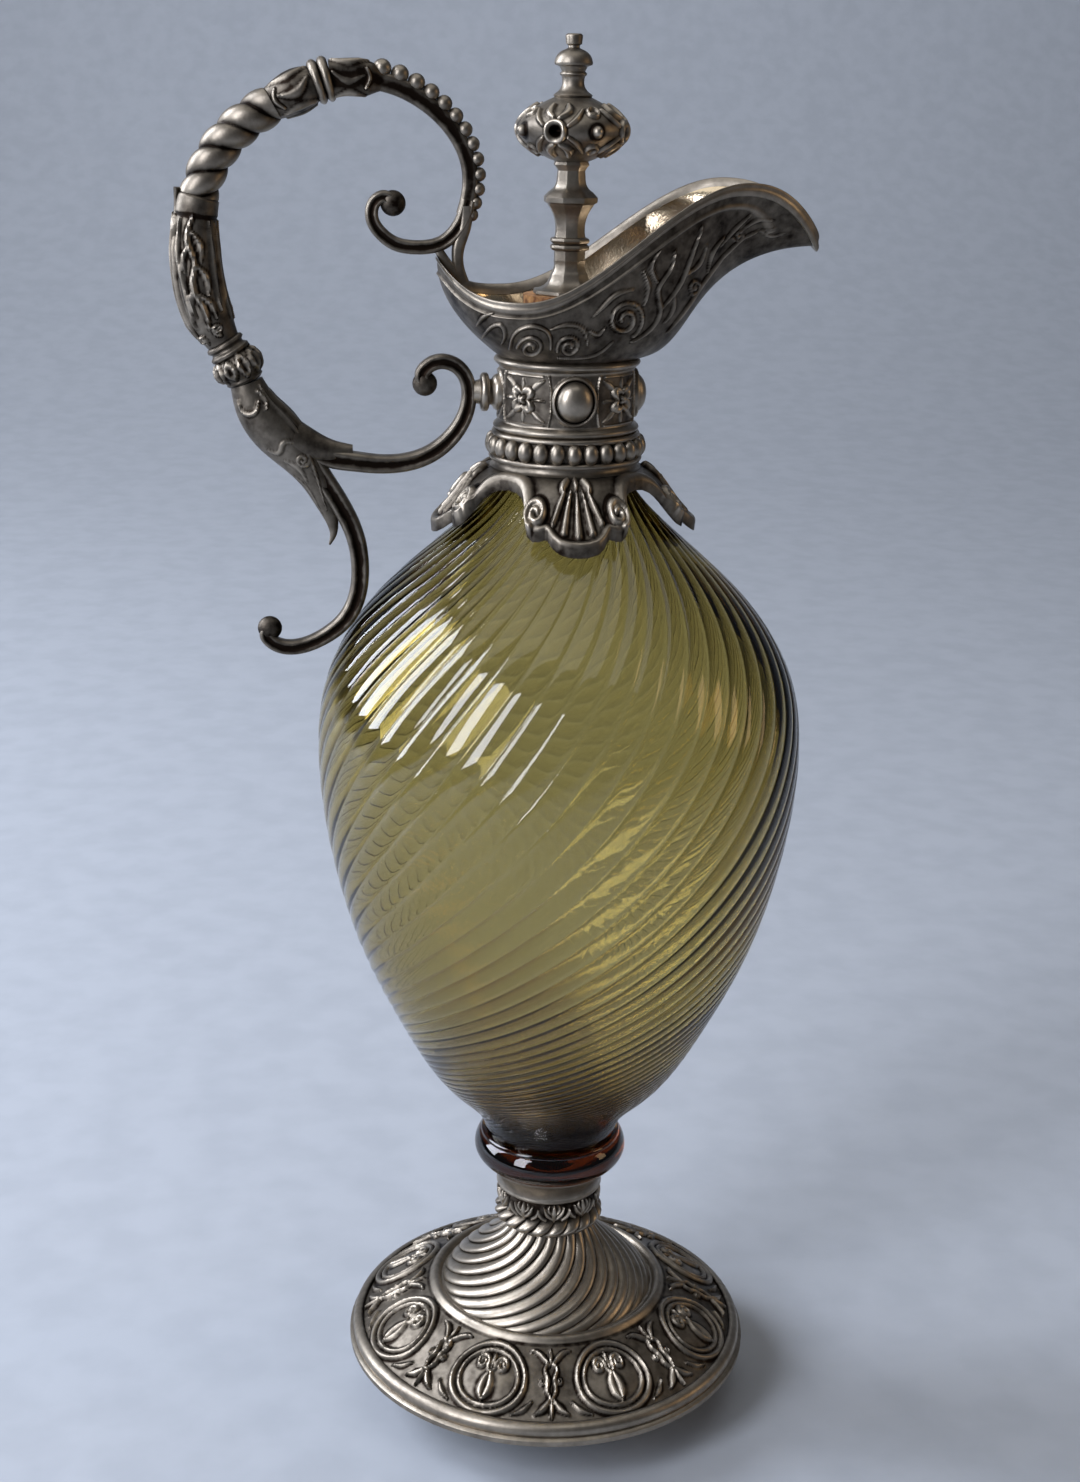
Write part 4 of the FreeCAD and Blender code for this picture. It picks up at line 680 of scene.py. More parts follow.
def plain_stuff(name, light, dark, grain, roughness, metal=0.0):
    """Dull stuff: colour from dark to light with noise of a grain size in metres, and a bump from it."""
    material, tree, shader = start_material(name, {"Roughness": roughness, "Metallic": metal})
    place = add_node(tree, "TexCoord").outputs["Object"]
    noise = add_node(tree, "TexNoise", {"Scale": 1 / grain, "Detail": 4.0}, {"Vector": place})
    grains = noise.outputs["Fac"]
    sharpened = add_node(tree, "MapRange", {"From Min": 0.35, "From Max": 0.62}, {"Value": grains})
    colour = add_node(
        tree, "Mix", {"data_type": "RGBA", 6: linear(dark), 7: linear(light)}, {0: sharpened.outputs[0]})
    bump = add_node(tree, "Bump", {"Strength": 0.4, "Distance": 0.0004}, {"Height": grains})
    tree.links.new(colour.outputs[2], shader.inputs["Base Color"])
    tree.links.new(bump.outputs[0], shader.inputs["Normal"])
    return material


# Plaster of Paris: chalk white and matt, hidden between the glass and the mounts
plaster = plain_stuff("plaster_of_paris", "#e4dfd4", "#c9c2b2", 0.0012, 0.9)
for name in ("stem_cement", "neck_cement"):
    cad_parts[name].material_slots[0].material = plaster


# Helmet mouth: a bowl drawn out into a beak, cast in one with scroll and leaf work outside. Inside, a warm
# lining that is partly plate worn to its brownish base and partly a painted warm reflection. A plain double
# moulding runs round its edge.
MOUTH_COLUMNS = 640
LINING_ROWS = 24
WALL = 1.3
LINING_WALL = 1.6
theta = math.pi * (2 * np.arange(MOUTH_COLUMNS) / MOUTH_COLUMNS - 1)


def mouth_wall(theta, share, inset):
    """Wall of the mouth from its round foot (share 0) to its rim (share 1).

    Theta is 0 at the beak and pi behind. The rim's plan is half an ellipse behind and a pinched one
    before; its height dips behind the middle, peaks before the beak and falls at the tip. Between foot
    and rim the way out is 1 - (1 - s)^2 in the bowl and s (1 - 0.3 sin pi s) under the beak.
    """
    side = np.cos(theta)
    before = side > 0
    wide = (27.0 - inset) * np.sin(theta) * np.where(before, 1 - 0.4 * side ** 2, 1.0)
    across = -8.0 + np.where(before, 75.8 - inset, 27.6 - inset) * side
    behind = 14.5 + 10.3 * np.clip((-15.0 - across) / 20.6, 0, 1) ** 3
    middle = 14.5 + 30.2 * eased((across + 15.0) / 59.0)
    tip = 44.7 - 14.9 * np.clip((across - 44.0) / 23.8, 0, None) ** 2.4
    top = np.where(across < -15.0, behind, np.where(across < 44.0, middle, tip))
    bowl_out = 1 - (1 - share) ** 2
    beak_out = share * (1 - 0.3 * np.sin(math.pi * share))
    beak = np.clip(side, 0, None) ** 2
    out = bowl_out + (beak_out - bowl_out) * beak
    up = share + (eased(share) - share) * beak
    foot = 18.84 - inset
    return np.stack([
        foot * side + (across - foot * side) * out,
        foot * np.sin(theta) + (wide - foot * np.sin(theta)) * out,
        MOUTH_FOOT + top * up + inset * (1 - (2 * share - 1) ** 4)], axis=-1)


share = np.linspace(0, 1, 100)[:, None]
mouth_plain = mouth_wall(theta, share, 0.0)
from_side, level = mouth_plain[..., 0], mouth_plain[..., 2]
scrolls = [
    stroke([(-24.2, 313.0), (-22.8, 316.4), (-20.6, 317.4), (-19.2, 315.2), (-19.6, 312.0)],
           [0.3, 0.5, 0.6, 0.5, 0.3], 0.6),
    stroke([(-26.0, 316.5), (-24.6, 319.2), (-22.4, 320.4)], [0.3, 0.7, 0.3], 0.6),
    stroke([(-17.4, 310.8), (-16.8, 315.2), (-12.4, 317.4), (-8.2, 315.6), (-7.2, 311.4)],
           [0.4, 0.5, 0.6, 0.5, 0.4], 0.7, 50),
    coil((-12.3, 311.4), 3.4, 180, -1.5, [0.5, 0.5, 0.5], 0.7, 60),
    coil((-2.4, 311.8), 3.2, 200, -1.6, [0.5, 0.5, 0.5], 0.7, 60),
    stroke([(-7.6, 316.6), (-3.2, 317.8), (0.9, 316.6), (2.6, 312.4)], [0.3, 0.7, 0.6, 0.3], 0.6),
    stroke([(-5.0, 308.8), (0.6, 308.6), (6.0, 309.8), (9.4, 312.8)], [0.3, 0.5, 0.5, 0.4], 0.6),
    coil((12.4, 318.8), 5.4, 300, 1.7, [0.5, 0.6, 0.6], 0.8, 90),
    stroke([(3.4, 319.8), (6.0, 322.4), (9.6, 325.6), (13.8, 326.6)], [0.3, 0.7, 0.8, 0.3], 0.7),
    stroke([(2.8, 316.2), (5.2, 315.0), (6.8, 316.8)], [0.3, 0.7, 0.3], 0.6),
    stroke([(14.8, 312.6), (19.6, 315.4), (22.4, 320.6), (21.2, 326.4), (24.4, 332.0), (25.0, 336.4)],
           [0.4, 0.6, 0.7, 0.7, 0.6, 0.3], 0.8, 60),
    stroke([(17.4, 322.4), (18.2, 327.4), (16.4, 331.6)], [0.3, 0.8, 0.3], 0.7),
    stroke([(20.8, 328.2), (18.8, 332.6), (20.8, 336.6)], [0.3, 0.7, 0.3], 0.7),
    stroke([(22.6, 321.4), (27.2, 327.0), (30.0, 334.2), (32.4, 342.4)], [0.4, 0.7, 0.7, 0.3], 0.8, 50),
    stroke([(28.4, 329.8), (32.6, 332.4), (34.4, 337.4)], [0.3, 0.8, 0.3], 0.7),
    stroke([(25.6, 314.8), (30.4, 320.6), (35.2, 327.4), (40.8, 334.6), (48.6, 340.4), (54.4, 341.6)],
           [0.4, 0.6, 0.7, 0.6, 0.5, 0.3], 0.8, 70),
    stroke([(24.0, 317.4), (26.4, 321.4), (25.8, 325.4)], [0.3, 0.7, 0.3], 0.7),
    coil((32.0, 326.6), 2.2, 250, 1.4, [0.45, 0.45], 0.7),
    stroke([(36.0, 330.4), (36.6, 335.2), (39.6, 339.6)], [0.3, 0.8, 0.3], 0.7),
    stroke([(38.6, 337.0), (41.8, 340.6), (46.8, 345.4)], [0.3, 0.7, 0.3], 0.7),
    coil((44.2, 339.8), 1.7, 200, 1.3, [0.4, 0.4], 0.6),
    stroke([(45.0, 341.2), (49.4, 343.8), (53.4, 343.6)], [0.3, 0.7, 0.3], 0.6),
    stroke([(50.0, 341.4), (53.6, 339.4), (57.4, 340.2)], [0.3, 0.5, 0.25], 0.5),
]
border = 0.5 * np.clip(1 - ((share - 0.87) / 0.022) ** 2, 0, None) * (np.abs(theta) > 0.35)
mouth_pattern, mouth_tarnish_and_shade = worked(from_side, level, scrolls)
mouth_pattern = np.maximum(mouth_pattern, border)
mouth_outer = raised(mouth_plain, mouth_pattern)
share_in = np.linspace(1, 0, LINING_ROWS)[:, None]
mouth_grid = np.concatenate([mouth_outer, mouth_wall(theta, share_in, WALL)])
# Darker beside the scroll strokes: partly tarnish, partly painted shade in the creases
mouth_wear_and_shade = np.concatenate(
    [0.22 + 0.42 * mouth_pattern - 0.32 * mouth_tarnish_and_shade, np.full((LINING_ROWS, MOUTH_COLUMNS), 0.4)])
plated("spout_bowl_chased", [(mouth_grid, mouth_wear_and_shade, True)], "spout_bowl", sharp=55)

# Worn plate inside the mouth, warm with a painted warm reflection: paler towards the rim and browner deeper
# in
worn_lining_and_reflection = worn_plate("worn_plate_and_painted_warm_reflection", "#e6d3b4", "#7d5b3e", 0.14, 0.34)
warm_lining = lay_skin(
    "spout_bowl_warm_lining",
    [(np.concatenate([mouth_wall(theta, share_in[::-1], WALL), mouth_wall(theta, share_in, LINING_WALL)]),
      np.concatenate([0.5 + 0 * share_in, 0.35 + 0.5 * share_in]), True)], worn_lining_and_reflection, 55)
fit(warm_lining, "ewer", "plate")

rim_section = flow([
    (-1.1, -0.3), (-1.25, 0.35), (-0.9, 0.9), (-0.1, 1.08), (0.6, 0.86), (0.9, 0.45),
    (1.2, 0.3), (1.6, 0.0), (1.6, -0.35), (1.0, -0.6), (-1.1, -0.3)], 29)[:-1]
rim_outer, rim_inner = (mouth_wall(theta, np.ones((1, 1)), inset)[0] for inset in (0.0, LINING_WALL))
half = (rim_outer - rim_inner) / 2
level = half * np.array([1.0, 1.0, 0.0])
crest = level / np.linalg.norm(level, axis=1)[:, None] * 0.9 + np.array([0.0, 0.0, 2.0])
rim_grid = (
    (rim_outer + rim_inner) / 2 + rim_section[:, :1, None] * half + rim_section[:, 1:, None] * crest)
plated("spout_rim_moulded", [(rim_grid, 0.46, True)], "spout_rim", sharp=60)


# Handle: arms and knops of cast plate, pinned end to end along one swept line, from a beaded arc at
# the mouth over the crest and down to a fork. One branch curls in to the neck band, the other hangs
# as a tail.
def swept(points, count):
    """Smooth line through (x, z) points in the plane of the handle, y = 0."""
    return flow([(x, 0.0, z) for x, z in points], count)


crest_line = swept([(-27.3 - 72.2 * out, 379.4 - 72.7 * down) for out, down in (
    (0.0, 0.494), (-0.007, 0.33), (0.065, 0.131), (0.19, 0.03), (0.349, 0.0), (0.536, 0.034),
    (0.709, 0.114), (0.875, 0.237), (0.979, 0.426), (1.0, 0.619), (0.961, 0.853), (0.849, 1.059),
    (0.755, 1.243), (0.564, 1.389))], 600)


def walked(path, start, end, count):
    """Points of a path at even steps between two of its lengths."""
    length = np.concatenate([[0.0], np.cumsum(np.linalg.norm(np.diff(path, axis=0), axis=1))])
    at = np.linspace(start, end, count)
    return np.stack([np.interp(at, length, path[:, axis]) for axis in range(3)], axis=1)


def path_length(path):
    """Sum of a path's steps."""
    return np.linalg.norm(np.diff(path, axis=0), axis=1).sum()


def outward(path):
    """Unit directions square to a path in the XZ plane: its own direction turned by a right angle."""
    along = np.gradient(path, axis=0)
    along /= np.linalg.norm(along, axis=1)[:, None]
    return np.stack([along[:, 2], 0 * along[:, 0], -along[:, 0]], axis=1)


def carried(path, radius, broad=1.0):
    """Section carried along a path in the XZ plane.

    Point = path + radius (cos a outward + broad sin a Y); radius has one row for each path point and one
    column for each angle a.
    """
    angle = 2 * math.pi * np.arange(radius.shape[1]) / radius.shape[1]
    aside = np.array([0.0, 1.0, 0.0])
    return (path[:, None, :] + (radius * np.cos(angle))[..., None] * outward(path)[:, None, :]
            + (radius * np.sin(angle) * broad)[..., None] * aside)


def on_crest(start, end, girth):
    """Section with a row of girths carried between two lengths of the crest line."""
    return carried(walked(crest_line, start, end, len(girth)), girth)


def spread(values, count):
    """Smooth row of numbers through a few even ones, as a column."""
    return flow(np.stack([np.arange(len(values)), values], axis=1), count)[:, 1:]


SIDES = 72
arm_angle = 2 * math.pi * np.arange(SIDES) / SIDES
square = 1 / (np.abs(np.cos(arm_angle)) ** 3.2 + np.abs(np.sin(arm_angle)) ** 3.2) ** (1 / 3.2)
side_groove = np.exp(-((np.abs(np.sin(arm_angle)) - 1) / 0.1) ** 2)


def flanked(rows, length, girth, strokes):
    """Height and crease darkening, partly tarnish and partly painted shade, of a pattern on both flanks of
    an arm.

    It is drawn in (mm round from the arm's outer line, mm along).
    """
    around = girth * np.minimum(arm_angle, 2 * math.pi - arm_angle)[None, :]
    along = np.linspace(0, length, rows)[:, None]
    return worked(around, along, strokes)


# Where each piece starts, in mm along the crest line
collar_at, cup_at, rope_at, grip_at, knop_at, leaf_at = 62.0, 67.0, 78.6, 110.1, 149.1, 161.5

ARC_STEPS = 200
arc_line = swept([
    (-28.6, 343.7), (-27.2, 349.2), (-27.0, 354.2), (-28.3, 359.6), (-31.4, 365.0), (-35.6, 369.5),
    (-40.8, 373.3), (-46.2, 375.9), (-52.0, 377.4), (-57.6, 378.0), (-63.6, 377.6)], ARC_STEPS)
arc_share = np.linspace(0, 1, ARC_STEPS)
arc_girth = np.interp(arc_share, [0, 0.5, 0.77, 0.82, 0.88, 1.0], [2.1, 2.3, 2.6, 4.3, 5.0, 4.8])[:, None]
arc_lift, arc_tarnish_and_shade = flanked(ARC_STEPS, path_length(arc_line), 4.8, [
    stroke([(2.6, 58.0), (3.6, 54.0), (2.4, 49.4)], [0.6, 1.2, 0.5], 0.6),
    stroke([(12.6, 58.0), (11.4, 53.6), (12.8, 49.0)], [0.6, 1.2, 0.5], 0.6),
    stroke([(6.0, 58.0), (8.4, 54.4), (6.8, 50.0)], [0.6, 1.4, 0.5], 0.5),
    stroke([(5.0, 49.6), (7.4, 48.4), (10.0, 49.2)], [0.5, 0.7, 0.5], 0.6)])
arc_section = arc_girth * (square * 0.97 - 0.1 * side_groove) + arc_lift
# Darker in the side grooves and beside the strokes: partly tarnish, partly painted shade
arc_wear_and_shade = 0.26 - 0.2 * side_groove + 0.5 * arc_lift - 0.4 * arc_tarnish_and_shade
plated(
    "handle_upper_scroll_cast", [(carried(arc_line, arc_section, 0.95), arc_wear_and_shade, False)],
    "handle_upper_scroll")

ARC_BEADS = 13
bead_share = np.linspace(0, 1, ARC_BEADS)
bead_at = (0.01 + 0.77 * (0.82 * bead_share + 0.18 * bead_share ** 2)) * (ARC_STEPS - 1)
bead_places = arc_line + outward(arc_line) * np.interp(arc_share, [0, 0.8], [2.1, 3.3])[:, None]
bead_centres = np.stack(
    [np.interp(bead_at, np.arange(ARC_STEPS), bead_places[:, axis]) for axis in range(3)], axis=1)
bead_sizes = 1.75 + 0.7 * bead_share
arc_beads = [
    (ball(size, 9, 14) * np.array([1.0, 1.2, 1.0]) + centre, 0.45, False)
    for size, centre in zip(bead_sizes, bead_centres)]
plated("handle_beads_graded", arc_beads, "handle_beads")

COLLAR_REACH = 5.9
share = np.linspace(0, 1, 41)[:, None]
collar_girth = COLLAR_REACH * (0.8 + 0.2 * np.abs(np.sin(2 * math.pi * share)) ** 0.6) + 0 * arm_angle
collar_wear = (collar_girth / COLLAR_REACH - 0.8) * 2.6
plated(
    "handle_collar_rings", [(on_crest(collar_at, cup_at, collar_girth), collar_wear, False)],
    "handle_collar")

CUP_STEPS = 60
cup_lift, cup_tarnish_and_shade = flanked(CUP_STEPS, rope_at - cup_at, 5.4, [
    stroke([(6.2, 0.8), (8.8, 4.6), (7.4, 9.4)], [0.6, 1.5, 0.5], 0.6),
    stroke([(2.4, 0.6), (3.6, 5.0), (2.6, 10.4)], [0.6, 1.4, 0.4], 0.6),
    stroke([(13.8, 0.6), (12.6, 5.0), (13.6, 10.4)], [0.6, 1.4, 0.4], 0.6),
    stroke([(5.2, 9.4), (8.0, 10.8), (11.2, 9.4)], [0.5, 0.9, 0.5], 0.7),
    stroke([(17.0, 1.0), (16.6, 5.0), (17.0, 10.0)], [0.5, 1.0, 0.4], 0.5)])
cup_girth = spread([4.7, 5.5, 5.6, 5.2, 4.4], CUP_STEPS) + cup_lift
# Darker beside the leaf strokes: partly tarnish, partly painted shade in the creases
cup_wear_and_shade = 0.24 + 0.4 * cup_lift - 0.4 * cup_tarnish_and_shade
plated(
    "handle_leaf_cup_cast", [(on_crest(cup_at, rope_at, cup_girth), cup_wear_and_shade, False)],
    "handle_leaf_cup")

STRANDS = 2
ROPE_TWIST = 800
ROPE_STEPS = 150
rope_share = np.linspace(0, 1, ROPE_STEPS)[:, None]
strand = (arm_angle / (2 * math.pi) * STRANDS - rope_share * STRANDS * ROPE_TWIST / 360) % 1.0 * 2 - 1
strand_height = np.sqrt(1 - np.clip(strand, -0.999, 0.999) ** 2)
rope_girth = 3.6 + 1.7 * strand_height + 0 * rope_share
rope_wear = 0.5 * strand_height - 0.04
plated(
    "handle_rope_arm_twisted", [(on_crest(rope_at, grip_at, rope_girth), rope_wear, False)],
    "handle_rope_arm", sharp=75)


GRIP_CUFF = 4.6
GRIP_STEPS = 130
grip_lift, grip_tarnish_and_shade = flanked(GRIP_STEPS, knop_at - grip_at, 6.2, [
    stroke([(0.0, 5.4), (0.4, 16.0), (0.0, 28.0), (0.3, 37.0)], [0.5, 1.0, 0.9, 0.4], 0.8, 60),
    stroke([(2.8, 5.6), (3.2, 15.0), (2.6, 27.0), (3.6, 36.6)], [0.5, 0.9, 0.9, 0.4], 0.8, 60),
    stroke([(5.6, 6.2), (5.0, 14.0), (6.0, 22.0), (5.2, 33.0)], [0.4, 1.0, 1.0, 0.4], 0.9, 60),
    stroke([(9.2, 5.2), (8.0, 11.0), (9.6, 17.0), (8.4, 23.0), (9.8, 29.0), (8.8, 34.4)],
           [0.6, 1.1, 0.8, 1.1, 0.9, 0.5], 1.1, 80),
    stroke([(9.0, 9.0), (11.2, 12.0), (11.4, 17.0)], [0.4, 1.1, 0.3], 0.9),
    stroke([(9.2, 17.0), (11.8, 20.0), (12.0, 26.0)], [0.4, 1.1, 0.3], 0.9),
    stroke([(9.4, 25.0), (11.6, 28.0), (11.8, 32.6)], [0.4, 1.0, 0.3], 0.9),
    stroke([(8.4, 12.4), (6.9, 15.0), (7.0, 19.4)], [0.4, 0.9, 0.3], 0.9),
    stroke([(8.6, 23.4), (7.0, 26.0), (7.1, 30.4)], [0.4, 0.9, 0.3], 0.9),
    stroke([(14.2, 6.0), (14.8, 18.0), (14.0, 31.0)], [0.4, 1.0, 0.4], 0.7, 50),
    stroke([(17.0, 6.6), (17.5, 20.0), (16.6, 34.0)], [0.4, 0.9, 0.4], 0.7, 50),
    stroke([(19.5, 6.0), (19.3, 20.0), (19.5, 35.0)], [0.4, 0.9, 0.4], 0.6, 50),
    coil((10.8, 35.4), 1.6, 90, 1.4, [0.6, 0.5], 1.0),
    coil((4.4, 36.4), 1.4, 60, -1.3, [0.5, 0.5], 0.9)])
grip_along = np.linspace(0, knop_at - grip_at, GRIP_STEPS)
grip_girth = np.interp(
    grip_along, [0, 0.5, GRIP_CUFF, GRIP_CUFF + 0.7, 14, 24, 32, 39],
    [4.9, 5.5, 5.7, 5.5, 6.2, 6.4, 6.2, 4.6])[:, None] + grip_lift
cuff_shade = np.exp(-((grip_along - GRIP_CUFF - 0.5) / 0.5) ** 2)[:, None]
# Darker beside the strokes, partly tarnish and partly painted shade; cuff_shade is painted shade under the
# cuff's rim
grip_wear_and_shade = 0.26 + 0.3 * grip_lift - 0.4 * grip_tarnish_and_shade - 0.4 * cuff_shade
blade_line = swept([(-103.2, 336.0), (-103.9, 341.0), (-104.0, 346.0), (-103.8, 349.8)], 24)
blade_girth = spread([1.5, 1.2, 0.7, 0.9], 24) + 0 * arm_angle[::3]
plated(
    "handle_leaf_grip_acanthus", [
        (on_crest(grip_at, knop_at, grip_girth), grip_wear_and_shade, False),
        (carried(blade_line, blade_girth, 2.4), 0.2, False)],
    "handle_leaf_grip")

KNOP_LEAVES = 5
KNOP_STEPS = 70
knop_share = np.linspace(0, 1, KNOP_STEPS)
across_knop = ((np.arange(SIDES) / SIDES * KNOP_LEAVES + 0.5) % 1.0 - 0.5) * 2 * math.pi * 6.6 / KNOP_LEAVES
knop_strokes = mirrored([
    stroke([(0, 5.0), (1.2, 7.4), (0, 10.4)], [0.6, 1.1, 0.5], 0.8),
    stroke([(3.9, 4.6), (2.9, 7.4), (3.9, 10.6)], [0.7, 0.8, 0.5], 0.8)])
knop_up = knop_share[:, None] * (leaf_at - knop_at)
knop_lift, knop_tarnish_and_shade = worked(across_knop[None, :], knop_up, knop_strokes)
knop_rings = np.interp(
    knop_share, [0, 0.04, 0.1, 0.16, 0.2, 0.26, 0.32, 0.36, 0.45, 0.6, 0.75, 0.88, 0.94, 1.0],
    [4.2, 5.2, 5.4, 4.6, 4.7, 5.6, 5.6, 4.9, 5.9, 6.5, 6.2, 5.0, 5.2, 4.4])[:, None]
# Darker beside the leaf strokes: partly tarnish, partly painted shade in the creases
knop_wear_and_shade = 0.26 + 0.3 * knop_lift - 0.4 * knop_tarnish_and_shade
plated(
    "handle_knop_cast", [(on_crest(knop_at, leaf_at, knop_rings + knop_lift), knop_wear_and_shade, False)],
    "handle_knop", sharp=50)

LEAF_STEPS = 160
leaf_line = swept([
    (-87.0, 299.1), (-84.2, 292.2), (-79.1, 285.8), (-73.6, 279.6), (-69.0, 272.9), (-66.2, 266.2),
    (-64.4, 260.6), (-64.2, 257.2), (-65.3, 254.3)], LEAF_STEPS)
leaf_lift, leaf_tarnish_and_shade = flanked(LEAF_STEPS, path_length(leaf_line), 5.6, [
    stroke([(4.6, 3.4), (5.4, 6.6), (8.0, 7.6), (10.2, 5.2)], [0.4, 0.7, 0.7, 0.4], 0.8),
    stroke([(11.4, 2.6), (12.2, 5.4), (11.0, 8.4)], [0.4, 0.8, 0.4], 0.8),
    stroke([(12.9, 1.6), (13.2, 12.0), (12.4, 22.0), (10.0, 31.0), (8.0, 41.0)],
           [0.5, 0.7, 0.7, 0.6, 0.4], 0.7, 80),
    stroke([(4.2, 17.4), (6.2, 19.8), (8.4, 18.6), (10.6, 20.6)], [0.4, 0.8, 0.8, 0.4], 0.7),
    coil((9.2, 25.6), 1.9, 40, 1.4, [0.6, 0.5], 0.8),
    stroke([(5.4, 22.6), (6.6, 27.0), (5.8, 31.6)], [0.4, 0.9, 0.4], 0.7),
    stroke([(3.0, 28.0), (4.2, 34.0), (3.4, 42.0)], [0.4, 0.8, 0.4], 0.6),
    stroke([(15.4, 4.0), (15.8, 14.0), (15.0, 24.0)], [0.5, 1.0, 0.4], 0.6, 40)])
leaf_taper = np.linspace(1, 0.2, LEAF_STEPS)[:, None]
leaf_girth = spread([4.5, 6.0, 6.7, 6.7, 6.1, 4.9, 3.7, 2.2, 0.3], LEAF_STEPS) + leaf_lift * leaf_taper
flange_line = swept([(-75.0, 283.8), (-69.6, 281.5), (-64.4, 280.3), (-58.6, 280.2)], 40)
flange_girth = spread([5.4, 4.7, 3.4, 2.0], 40) + 0 * arm_angle
leaf_skin = carried(leaf_line, leaf_girth, spread([0.95, 0.8, 0.75, 0.8], LEAF_STEPS))
# Darker beside the strokes: partly tarnish, partly painted shade in the creases
leaf_wear_and_shade = 0.28 + 0.3 * leaf_lift - 0.36 * leaf_tarnish_and_shade
plated(
    "handle_lower_leaf_forked",
    [(leaf_skin, leaf_wear_and_shade, False), (carried(flange_line, flange_girth, 0.92), 0.24, False)],
    "handle_lower_leaf")


def scroll(path, widths, broad, eye):
    """Strap along a path that ends in a flattened round eye, with a groove a quarter deep in each side."""
    girth = spread(widths, len(path)) * (square * 0.98 - 0.25 * side_groove)
    # Darker in the side grooves: partly tarnish, partly painted shade
    wear_and_shade = np.broadcast_to(0.34 - 0.34 * side_groove, girth.shape)
    disc = ball(eye, 14, 28) * np.array([1.0, 0.7, 1.0]) + path[-1]
    return [(carried(path, girth, broad), wear_and_shade, False), (disc, 0.16, False)]


branch_path = swept([
    (-69.0, 280.2), (-63.6, 278.4), (-58.4, 277.6), (-53.2, 277.0), (-48.0, 276.9), (-42.5, 277.7),
    (-37.0, 279.9), (-32.0, 283.9), (-28.7, 288.5), (-27.1, 293.0), (-26.9, 297.4), (-28.3, 301.6),
    (-31.2, 304.2), (-34.8, 304.9), (-38.0, 303.6), (-39.7, 301.2), (-38.9, 298.9)], 160)
plated(
    "handle_neck_scroll_grooved",
    scroll(branch_path, [2.8, 2.8, 2.6, 2.5, 2.4, 2.2, 2.1, 2.1, 2.0], 1.15, 3.4),
    "handle_neck_scroll")

tail_path = swept([
    (-70.4, 278.6), (-67.0, 273.4), (-63.1, 267.2), (-59.8, 261.0), (-57.7, 254.9), (-56.9, 248.8),
    (-57.1, 243.0), (-58.4, 237.7), (-61.5, 232.5), (-65.7, 228.9), (-70.3, 226.4), (-74.8, 225.1),
    (-78.5, 225.2), (-81.6, 226.6), (-83.2, 228.9), (-82.2, 230.6)], 160)
plated(
    "handle_tail_scroll_grooved",
    scroll(tail_path, [2.9, 2.8, 2.7, 2.6, 2.5, 2.4, 2.2, 2.1, 2.0], 1.1, 3.4),
    "handle_tail_scroll")

ferrule = stand_out([
    (4.9, 17.6), (5.0, 19.2), (4.6, 20.0), (3.7, 20.6), (3.4, 21.2), (4.6, 21.5), (5.2, 21.9),
    (5.3, 22.6), (5.2, 23.3), (4.6, 23.7), (3.4, 23.9), (3.0, 25.6)], 48)
plated("handle_ferrule_turned", [(spun(ferrule, 180), 0.65, False)], "handle_ferrule", sharp=50)

root_leg = swept([(-28.0, 346.0), (-28.3, 340.6), (-29.9, 335.6), (-30.0, 330.6), (-28.6, 326.0)], 60)
root_stay = swept([(-35.4, 334.6), (-33.6, 331.8), (-31.4, 329.0), (-28.8, 326.2)], 40)
root_bars = ((root_leg, [1.9, 1.7, 1.7, 1.5, 1.6]), (root_stay, [1.2, 1.3, 1.4, 1.5]))
root_skins = [
    (carried(bar, spread(widths, len(bar)) * square, 1.3), 0.4, False) for bar, widths in root_bars]
plated("handle_root_bracket", root_skins, "handle_root")

volute_path = swept([
    (-27.4, 347.5), (-28.8, 342.6), (-31.4, 338.6), (-34.6, 336.2), (-38.3, 335.2), (-42.4, 335.1),
    (-46.9, 336.0), (-50.6, 338.6), (-52.8, 341.9), (-53.0, 344.7), (-51.9, 347.0), (-49.6, 348.0),
    (-47.4, 346.4)], 140)
plated(
    "handle_upper_volute_grooved", scroll(volute_path, [2.1, 2.0, 1.9, 1.9, 1.8, 1.8], 1.25, 3.4),
    "handle_upper_volute")


# Stopper: a tapered cork on a threaded rod with a washer and nut below, hidden in the neck, and above
# it a finial of turned and cast plate: faceted foot and baluster, pierced ball, bell and button.

# Natural cork: tan, matt, with dark pores about 2 mm apart
natural_cork = plain_stuff("natural_cork", "#b98a58", "#6d4426", 0.0022, 0.85)
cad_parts["stopper_cork"].material_slots[0].material = natural_cork
# Turned brass, dull from wine and air: the hidden fixings
dull_brass = plain_stuff("dull_brass", "#b08d4a", "#8a6a34", 0.004, 0.4, 1.0)
for name in ("stopper_washer", "stopper_rod", "stopper_nut"):
    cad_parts[name].material_slots[0].material = dull_brass

FACETS = 8


def faceted(outline, columns=FACETS * 6):
    """Outline turned into flat facets: r cos(22.5) / cos(d), d the angle from a facet's middle.

    The edges between facets are cut off at nine tenths of d.
    """
    angle = 2 * math.pi * np.arange(columns) / columns
    off = np.abs((angle + math.pi / FACETS) % (2 * math.pi / FACETS) - math.pi / FACETS)
    ratio = math.cos(math.pi / FACETS) / np.cos(np.minimum(off, math.pi / FACETS * 0.9))
    radius = outline[:, :1] * ratio
    return np.stack([radius * np.cos(angle), radius * np.sin(angle), outline[:, 1:] + 0 * angle], axis=-1)


finial_foot = moulding([
    (2.1, 323.1), (10.0, 323.1), (10.2, 323.5), (10.0, 324.3), (9.6, 324.5, -1.1), (5.2, 328.6),
    (4.9, 329.0, -0.3), (4.5, 332.1), (2.1, 332.1)])
plated(
    "stopper_foot_faceted", [(faceted(finial_foot), 0.46, True)],
    "stopper_foot", sharp=25, body="stopper")

